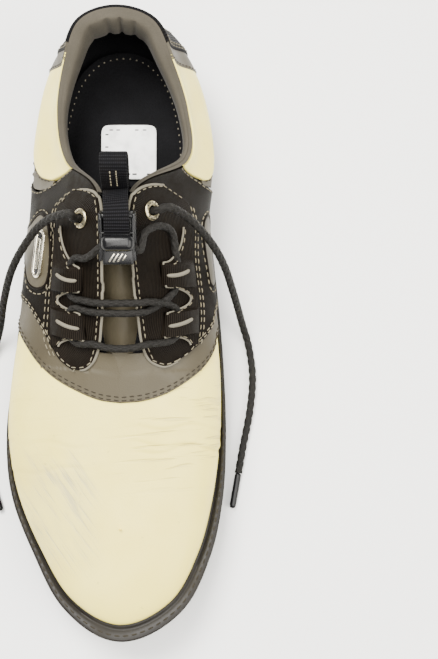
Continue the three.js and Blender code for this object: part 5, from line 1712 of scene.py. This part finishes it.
@dataclass
class Keeper(SubAssembly):
    """The moulded lace keeper on the tongue and the roller that turns in it."""

    tilt: float = 0.42
    place: tuple[float, float, float] = (3.0, 29.0, 95.8)

    def at(self, x: float, y: float, z: float) -> Array:
        """Return a point given in the keeper's own tilted frame."""
        return self.turn @ np.array([x, y, z], float) + np.array(self.place)

    @property
    def turn(self) -> Array:
        """Return the keeper's turn about X."""
        c, n = np.cos(self.tilt), np.sin(self.tilt)
        return np.array([[1, 0, 0], [0, c, -n], [0, n, c]])

    def build(self) -> None:
        """Make the frame, its webbing strap, the stripes on its plate and the roller."""
        blocks = [((16.8, 22.0, 1.4), (0, 0, -3.0), 0.5), ((15.0, 7.6, 5.8), (0.3, -2.4, 5.4), 2.85),
                  ((14.0, 7.6, 2.2), (0.3, -8.8, 4.3), 0.9), ((14.4, 2.0, 1.6), (0, 9.8, 3.8), 0.7)]
        for sign in (-1, 1):
            blocks += [((1.4, 19.0, 2.2), (sign * 7.2, -0.6, 3.4), 0.65),
                       ((1.5, 5.0, 7.0), (sign * 7.65, -8.6, 0.8), 0.5),
                       ((1.5, 9.0, 7.0), (sign * 7.65, 6.4, 0.8), 0.5)]
        frame_parts = [rounded_block(size, radius, 5).moved(self.turn, self.at(*place))
                       for size, place, radius in blocks]
        self.make("lace_keeper", together(frame_parts), GLOSS_PLASTIC, slot="buckle_plastic")
        run = np.array([[3.0, 27.0, 99.5], [3.0, 30.5, 103.5], [3.0, 35.0, 106.4], [2.8, 40.5, 106.9],
                        [2.3, 45, 103.4], [1.9, 48.6, 99.0], [1.8, 50.2, 95.5]])
        half = np.linspace(-5.7, 5.7, 24)
        thick = np.repeat([0.7, -0.7], 24)
        section = np.stack([np.concatenate([half, half[::-1]]), thick], axis=-1)
        strap = carried(resample(smooth_line(run), 70), section, start=[1.0, 0.0, 0.0])
        strap.uv[:, 1] = 0
        strap.uv[:-2, 1] = np.tile(section[:, 0], 70)
        self.make("keeper_strap", strap, WEBBING)
        spin = self.turn @ about_z(np.radians(-32))
        stripes = [rounded_block((0.75, 4.6 if k < 3 else 3.0, 0.5), 0.2, 3)
                   .moved(spin, self.at(-2.5 + 1.9 * k, -9.0, 5.45)) for k in range(4)]
        self.make("keeper_stripes", together(stripes), CHROME)
        self._roller()

    def _roller(self) -> None:
        """Make the roller: rings along X whose radius waves round the thick ones as flutes."""
        x = np.array([-7.2, -7.2, -5.9, -5.7, -5.4, 5.4, 5.7, 5.9, 7.2, 7.2])[:, None]
        radius = np.array([0.05, 0.5, 0.5, 1.5, 1.8, 1.8, 1.5, 0.5, 0.5, 0.05])[:, None]
        angle = full_turn(40)
        radius = radius * (1 + 0.04 * np.cos(10 * angle)[None] * (radius > 1))
        rings = np.stack([x + 0 * angle, radius * np.cos(angle), radius * np.sin(angle)], axis=-1)
        roller = capped(rings).moved(self.turn, self.at(0, 2, 4.2))
        self.make("keeper_roller", roller, GLOSS_PLASTIC, Body.ROLLER, slot="buckle_plastic", sharp=50)


@dataclass
class Lacing(SubAssembly):
    """The threaded lace and its two free ends with their aglets."""

    keeper: Keeper
    radius: float = 1.8
    end_radius: float = 2.0
    point_gap: float = 0.45
    over: float = 3.4
    under: float = -7.3
    aglet_length: float = 18.0
    aglet_radius: float = 1.7

    def on(self, side: Side, s: float, t: float, height: float | None = None) -> Array:
        """Return a point over the last, at the height of a lace that lies on the facing."""
        around = float(side.station(np.array(s)))
        return LAST.over(around, t, self.over if height is None else height)

    def build(self) -> None:
        """Make the threaded lace and both free ends."""
        self._threaded()
        lat, med = (partial(self.on, side) for side in Side)
        self._end(Side.LATERAL, [
            lat(5.15, 0.82, 3.5), lat(5.15, 0.82, 5.6), (-19, 40, 92), (-29, 40.5, 82),
            (-37, 38, 72), (-45, 31, 62), (-52.5, 22, 50), (-59.5, 10, 30), (-65, -3, 10), (-70, -16, 2.6),
            (-75, -32, 2.3), (-76, -50, 2.3), (-73, -66, 2.3), (-69, -78, 2.3)], 0.196)
        self._end(Side.MEDIAL, [
            med(5.05, 0.81, 3.5), med(5.05, 0.81, 5.6), (25, 44, 89), (32, 42.5, 82),
            (39, 38, 74), (46.5, 31, 62), (51.5, 24, 50), (56.5, 13, 30), (61, 1, 10), (64.5, -10, 2.6),
            (66.5, -26, 2.3), (65, -44, 2.3), (61.5, -62, 2.3), (59, -76, 2.3)], 0.182)

    def _braid(self, path: Array, radius: float) -> Surface:
        """Carry a braided section along a path.

        The radius follows the higher of two crossing helical waves, four strands each way, so that the
        surface shows the small diamonds of a round braid.
        """
        length = running_length(path)[:, None]
        angle = full_turn(28)[None]
        turn = 2 * np.pi * length / 9.0
        one, two = np.cos(4 * (angle + turn / 2)), np.cos(4 * (angle - turn / 2))
        swell = radius * (0.86 + 0.14 * np.maximum(one, two))
        section = np.stack([swell * np.cos(angle), swell * np.sin(angle)], axis=-1)
        made = carried(path, section)
        made.uv[:, 1] *= 2 * np.pi * radius
        return made

    def _route(self, points: Array) -> Array:
        """Return the even points of a smooth route."""
        path = smooth_line(points, samples=30)
        return resample(path, int(running_length(path)[-1] / self.point_gap))

    def _threaded(self) -> None:
        """Make the lace from eyelet to eyelet: under the facings, through the keeper and the tabs."""
        lat, med = (partial(self.on, side) for side in Side)
        inside = self.keeper.at
        over, under = self.over, self.under
        points = np.array([
            lat(5.15, 0.82, 3.2), lat(5.15, 0.82, -3.6), lat(5.12, 0.88, under),
            lat(5.05, 0.96, under - 0.3), (-1, 45.4, 91), (-0.8, 45, 96.5), inside(-2.8, 12.4, 0.4),
            inside(-3.8, 6, 0.2), inside(-4.2, -1, 0.2), inside(-9.8, -6.8, 0.4),
            lat(5.5, 0.9, over + 1.2), lat(5.5, 0.79), lat(5.68, 0.735), lat(5.84, 0.78),
            lat(5.86, 0.9, over + 0.6), lat(5.86, 1, over), med(5.86, 1, over), med(5.86, 0.9, over + 1.6),
            med(5.97, 0.7), med(6.2, 0.645), med(6.44, 0.7),
            med(6.44, 0.88, over + 0.4), med(6.45, 1, over - 0.4), lat(6.45, 1, over - 0.4),
            lat(6.44, 0.9, over + 0.4), lat(6.48, 0.78), lat(6.22, 0.735), lat(5.98, 0.78),
            lat(5.97, 0.9, over), lat(5.96, 1, over - 0.6), med(5.96, 1, over - 0.6), med(5.95, 0.9, over),
            med(5.8, 0.7, over - 0.4),
            med(5.62, 0.645), med(5.42, 0.65), med(5.22, 0.68, over + 1),
            med(5.2, 0.78, over + 1.8), med(5.3, 0.92, over + 2.4), inside(9.8, -6.8, 0.4),
            inside(4.2, -1, 0.2), inside(3.8, 6, 0.2), inside(2.6, 12.4, 0.4), (4.6, 45, 96.5),
            (4.8, 45.4, 91), med(4.97, 0.95, under), med(5.02, 0.87, under),
            med(5.05, 0.81, -3.6), med(5.05, 0.81, 3.2)])
        path = self._route(points)
        self.make("lace", self._braid(path, self.radius), LACE_CORD, slot="lace_cord")

    def _end(self, side: Side, points: list, length: float) -> None:
        """Make a free lace end and its aglet.

        Args:
            side: The eyelet's side.
            points: The route, from the eyelet to the aglet.
            length: The cord's length in metres; not used.
        """
        route = np.array([np.asarray(p, float) for p in points])
        path = self._route(route)
        cord = self.make(f"lace_end_{side.value}", self._braid(path, self.end_radius), LACE_CORD,
                         slot="lace_cord")
        ahead = unit(route[-1] - route[-2])
        run = np.array([0.1, 0.3, 0.7, 1.2, 6, 12, 16.5, 17.6, 18.0, 18.2])
        size = np.array([0.5, 0.85, 0.97, 1, 1, 1, 0.97, 0.85, 0.6, 0.2]) * self.aglet_radius
        line = route[-1] + ahead * run[:, None]
        aglet = self.make(f"aglet_{side.value}", carried(line, circle(1.0, 20)[None] * size[:, None, None]),
                          GLOSS_PLASTIC, slot="aglet_plastic")


# ---- Sole ----


@dataclass
class Sole(SubAssembly):
    """The welt, midsole and outsole with their tread, receptacles and cleats."""

    outsole_thickness: float = 5.5
    cleat_radius: float = 10.0
    legs: int = 6
    sites: dict[str, tuple[float, float]] = field(default_factory=lambda: {
        "ball_lateral": (-32, -46), "ball_medial": (27, -52), "toe_lateral": (-24, -90),
        "toe_medial": (20, -96), "heel_lateral": (-19, 90), "heel_medial": (19, 90), "heel_rear": (0, 122)})

    def build(self) -> None:
        """Make the sole from the welt down."""
        self._welt()
        self._midsole()
        self._outsole()
        self._lugs()
        for place, (x, y) in self.sites.items():
            self._cleat(place, np.array([x, y, 0.0]))

    def _around(self, profile: Sequence[tuple[float, float, float, float]], closed: bool) -> Surface:
        """Carry a profile round the sole's outline.

        Args:
            profile: Rows of share r from the middle line, share of the welt's width, millimetres added
                to that, and height: 0 at the tread's underside to 1 at the upper's edge, then past 1 in
                millimetres over that edge.
            closed: Whether the profile is a closed loop, as for a ring.

        Returns:
            The closed surface.
        """
        s = np.linspace(0, ROUND, 481)[:-1, None]
        r, share, extra, high = (np.array(column)[None] for column in zip(*profile))
        width = LAST.row(s[:, 0])[:, 7:8]
        s2, r2 = np.broadcast_arrays(s, r + 0 * s)
        p = LAST.plan(s2, r2, share * width + extra)
        bottom, top = LAST.sole_bottom(p[..., 1]), LAST.sole_top(p[..., 1])
        p[..., 2] = bottom + (top - bottom) * np.clip(high, 0, 1) + np.maximum(high - 1, 0)
        return ring(p) if closed else wrapped(p)

    def _welt(self) -> None:
        """Make the welt: a soft bead against the upper, a groove, and a flat lip with a round edge."""
        lip = [(1, 0, -1.6, 1.0), (1, 0, -1.6, 3.0), (1, 0, -0.6, 3.7), (1, 0.12, 0.2, 3.7),
               (1, 0.22, 0.2, 3.1), (1, 0.3, 0.2, 2.5), (1, 0.38, 0.1, 2.6), (1, 0.46, 0, 3.0),
               (1, 0.7, 0, 3.05), (1, 0.9, 0, 2.95), (1, 0.98, 0, 2.6), (1, 1.0, 0.1, 2.0),
               (1, 1.0, 0.0, 1.3), (1, 0.97, 0, 1.02)]
        self.make("welt", self._around(lip, True), WELT_RUBBER, slot="welt_rubber")
        s = np.linspace(6.2, 17.8, 900)
        width = LAST.row(s)[:, 7]
        line = LAST.plan(s, 1 + 0 * s, 0.68 * width)
        line[:, 2] = LAST.sole_top(line[:, 1]) + 2.1
        up = np.broadcast_to([0.0, 0.0, 1.0], line.shape)
        self.make("welt_stitching", Stitching(2.8, 1.4, 0.36).row(line, up), TAUPE_THREAD)

    def _midsole(self) -> None:
        """Make the midsole: a wall that leans in a little, with two grooves round it."""
        wall = [(r, 1, -0.7, 0.985) for r in (0.0, 0.5, 0.9)]
        steps = [(0.985, -0.8), (0.93, -0.35), (0.84, -0.3), (0.82, -0.95), (0.79, -0.95), (0.77, -0.3),
                 (0.66, -0.45), (0.64, -1.1), (0.61, -1.1), (0.59, -0.5), (0.45, -0.7), (0.3, -0.8)]
        wall += [(1.0, 1, inset, high) for high, inset in steps]
        wall += [(r, 1, -1.0, 0.3) for r in (0.9, 0.5, 0.0)]
        self.make("midsole", self._around(wall, False), SOLE_RUBBER, slot="midsole_rubber", weld=True,
                  sharp=60)

    def _outsole(self) -> None:
        """Make the outsole: a wall with a rounded lower edge, a sunk line inside its rim, a flat tread."""
        rows = [(r, 1, -0.2, 0.31) for r in (0.0, 0.6, 0.97)]
        wall = [(0, 0.3), (0, 0.2), (-0.1, 0.08), (-0.5, 0.02), (-1.3, 0), (-4, 0), (-4.4, 0.05),
                (-5.4, 0.05), (-5.8, 0)]
        rows += [(1.0, 1, inset, high) for inset, high in wall]
        rows += [(r, 1, -5.8, 0.0) for r in (0.8, 0.5, 0.2, 0.0)]
        surface = self._around(rows, False)
        flat = surface.points.reshape(480, -1, 3)
        lower = LAST.sole_bottom(flat[:, :4, 1]) + self.outsole_thickness
        flat[:, :4, 2] = np.minimum(flat[:, :4, 2], lower)
        self.make("outsole", surface, SOLE_RUBBER, slot="outsole_rubber", weld=True, sharp=60)

    def _lugs(self) -> None:
        """Set small tapered lugs on the tread in offset rows, clear of the cleats and the rim."""
        s = np.linspace(0, ROUND, 400)
        edge = LAST.plan(s, 1 + 0 * s, -9 + 0 * s)[:, :2]
        lugs = []
        for row, y in enumerate(np.arange(-128, 136, 9.0)):
            if 8 < y < 58:
                continue
            near = edge[np.abs(edge[:, 1] - y) < 5, 0]
            if not len(near):
                continue
            for x in np.arange(near.min(), near.max(), 9.5) + (row % 2) * 4.0:
                if x > near.max() or min(np.hypot(x - a, y - b) for a, b in self.sites.values()) < 14:
                    continue
                z = float(LAST.sole_bottom(np.array(y)))
                lug = rounded_block((4.2, 3.0, 2.6), 0.7, 2)
                lugs.append(lug.moved(np.eye(3), (x, y, z - 0.5)))
        self.make("tread_lugs", together(lugs), SOLE_RUBBER, slot="outsole_rubber", replaces=())

    def _cleat(self, place: str, centre: Array) -> None:
        """Make a soft cleat with its curved legs, and the receptacle that it twists into."""
        disc = [(0.6, 1.5), (3.6, 1.2), (5, 2.0), (self.cleat_radius - 1.5, 2.6), (self.cleat_radius, 3.4),
                (self.cleat_radius - 0.3, 4.4), (6, 5.2), (4.2, 5.4), (4.2, 9.2), (0.6, 9.2)]
        parts = [turned(disc, 48).moved(np.eye(3), centre)]
        run = shares(14)
        for k in range(self.legs):
            angle = 2 * np.pi * k / self.legs + 0.5 * run
            reach = 4.6 + 5.2 * run
            leg = np.stack([reach * np.cos(angle), reach * np.sin(angle),
                            3.2 - 1.9 * np.sin(np.pi / 2 * run) ** 2], axis=-1)
            size = (1.55 - 0.35 * run) * np.sqrt(np.clip(1 - (2 * run - 1) ** 10, 0.05, 1))
            section = circle(1.0, 12)[None] * size[:, None, None] * [1.15, 1.0]
            parts.append(carried(leg + centre, section))
        surface = together([Surface(x.points, x.faces) for x in parts])
        surface.points[:, 2] = np.maximum(surface.points[:, 2], 0.02)
        self.make(f"cleat_{place}", surface, CLEAT_PLASTIC, f"cleat_{place}", slot="cleat_plastic")
        cup = [(4.7, 5.5), (8.2, 5.5), (8.5, 5.9), (8.5, 10.2), (4.7, 10.2)]
        self.make(f"receptacle_{place}", turned(cup, 40).moved(np.eye(3), centre), SOCKET_PLASTIC,
                  slot="receptacle_plastic")


# ---- Studio ----


@dataclass
class Studio:
    """A pale floor, soft lights and the camera over the shoe."""

    camera_place: tuple[float, float, float] = (0.05175, -0.08785, 0.650)
    camera_tilt: float = 8.0
    lens: float = 68.0
    floor_half: float = 3.0

    def build(self) -> None:
        """Make the floor, lights, world and camera."""
        half = self.floor_half
        mesh = bpy.data.meshes.new("floor")
        mesh.from_pydata([(-half, -half, 0), (half, -half, 0), (half, half, 0), (-half, half, 0)], [],
                         [(0, 1, 2, 3)])
        book = NodeBook("pale_floor")
        book.set(Base_Color=(0.93, 0.93, 0.92, 1), Roughness=0.8)
        mesh.materials.append(book.material)
        placed("floor", mesh)
        self._lamp("key", (-0.35, 0.55, 1.25), (-30, -15, 0), 0.7, 56.0, (1.0, 0.98, 0.93))
        self._lamp("fill", (0.85, -0.35, 0.95), (20, 45, 0), 0.8, 22.0, (1.0, 0.97, 0.90))
        self._lamp("top", (0.0, -0.25, 1.6), (6, 0, 0), 0.9, 30.0, (1.0, 0.98, 0.94))
        world = bpy.data.worlds.new("studio")
        world.use_nodes = True
        sky = world.node_tree.nodes["Background"].inputs
        sky["Color"].default_value = (0.95, 0.97, 1.0, 1)
        sky["Strength"].default_value = 0.42
        bpy.context.scene.world = world
        self._camera()

    def _lamp(self, name: str, place: Sequence[float], turn: Sequence[float], size: float, power: float,
              colour: tuple[float, float, float]) -> None:
        """Hang a square soft light; its turn is in degrees."""
        data = bpy.data.lights.new(name, "AREA")
        data.size, data.energy, data.color = size, power, colour
        lamp = placed(name, data)
        lamp.location = place
        lamp.rotation_euler = np.radians(turn)

    def _camera(self) -> None:
        """Place the camera above the shoe, tilted a little towards the heel."""
        data = bpy.data.cameras.new("camera")
        data.lens, data.sensor_width = self.lens, 36.0
        data.clip_start, data.clip_end = 0.01, 20.0
        camera = placed("camera", data)
        camera.location = self.camera_place
        camera.rotation_euler = (np.radians(self.camera_tilt), 0, 0)
        bpy.context.scene.camera = camera


def dress_hidden_parts() -> None:
    """Give the hidden stiffeners, boards and linings that stay as solids their finishes."""
    finishes = {"shank": CHROME, "insole_board": BOARD, "toe_puff": BOARD, "heel_counter": BOARD,
                "collar_foam": GREY_LINING, "vamp_lining": BLACK_CLOTH}
    for node, finish in finishes.items():
        mesh = bpy.data.objects[node].data
        mesh.materials.clear()
        mesh.materials.append(finish.material)


def main() -> None:
    """Build the shoe in order, from the lacing and camera to the sole."""
    logging.basicConfig(level=logging.INFO, format="%(name)s %(message)s")
    Studio().build()
    shop = Workshop()
    keeper = Keeper(shop)
    Lacing(shop, keeper).build()
    keeper.build()
    Forepart(shop).build()
    for rails in (LATERAL, MEDIAL):
        Quarter(shop, rails).build()
    Badge(shop).build()
    Heel(shop).build()
    Inside(shop).build()
    Tongue(shop).build()
    Sole(shop).build()
    dress_hidden_parts()
    LOG.info("%d pieces made", shop.count)


if __name__ == "__main__":
    main()
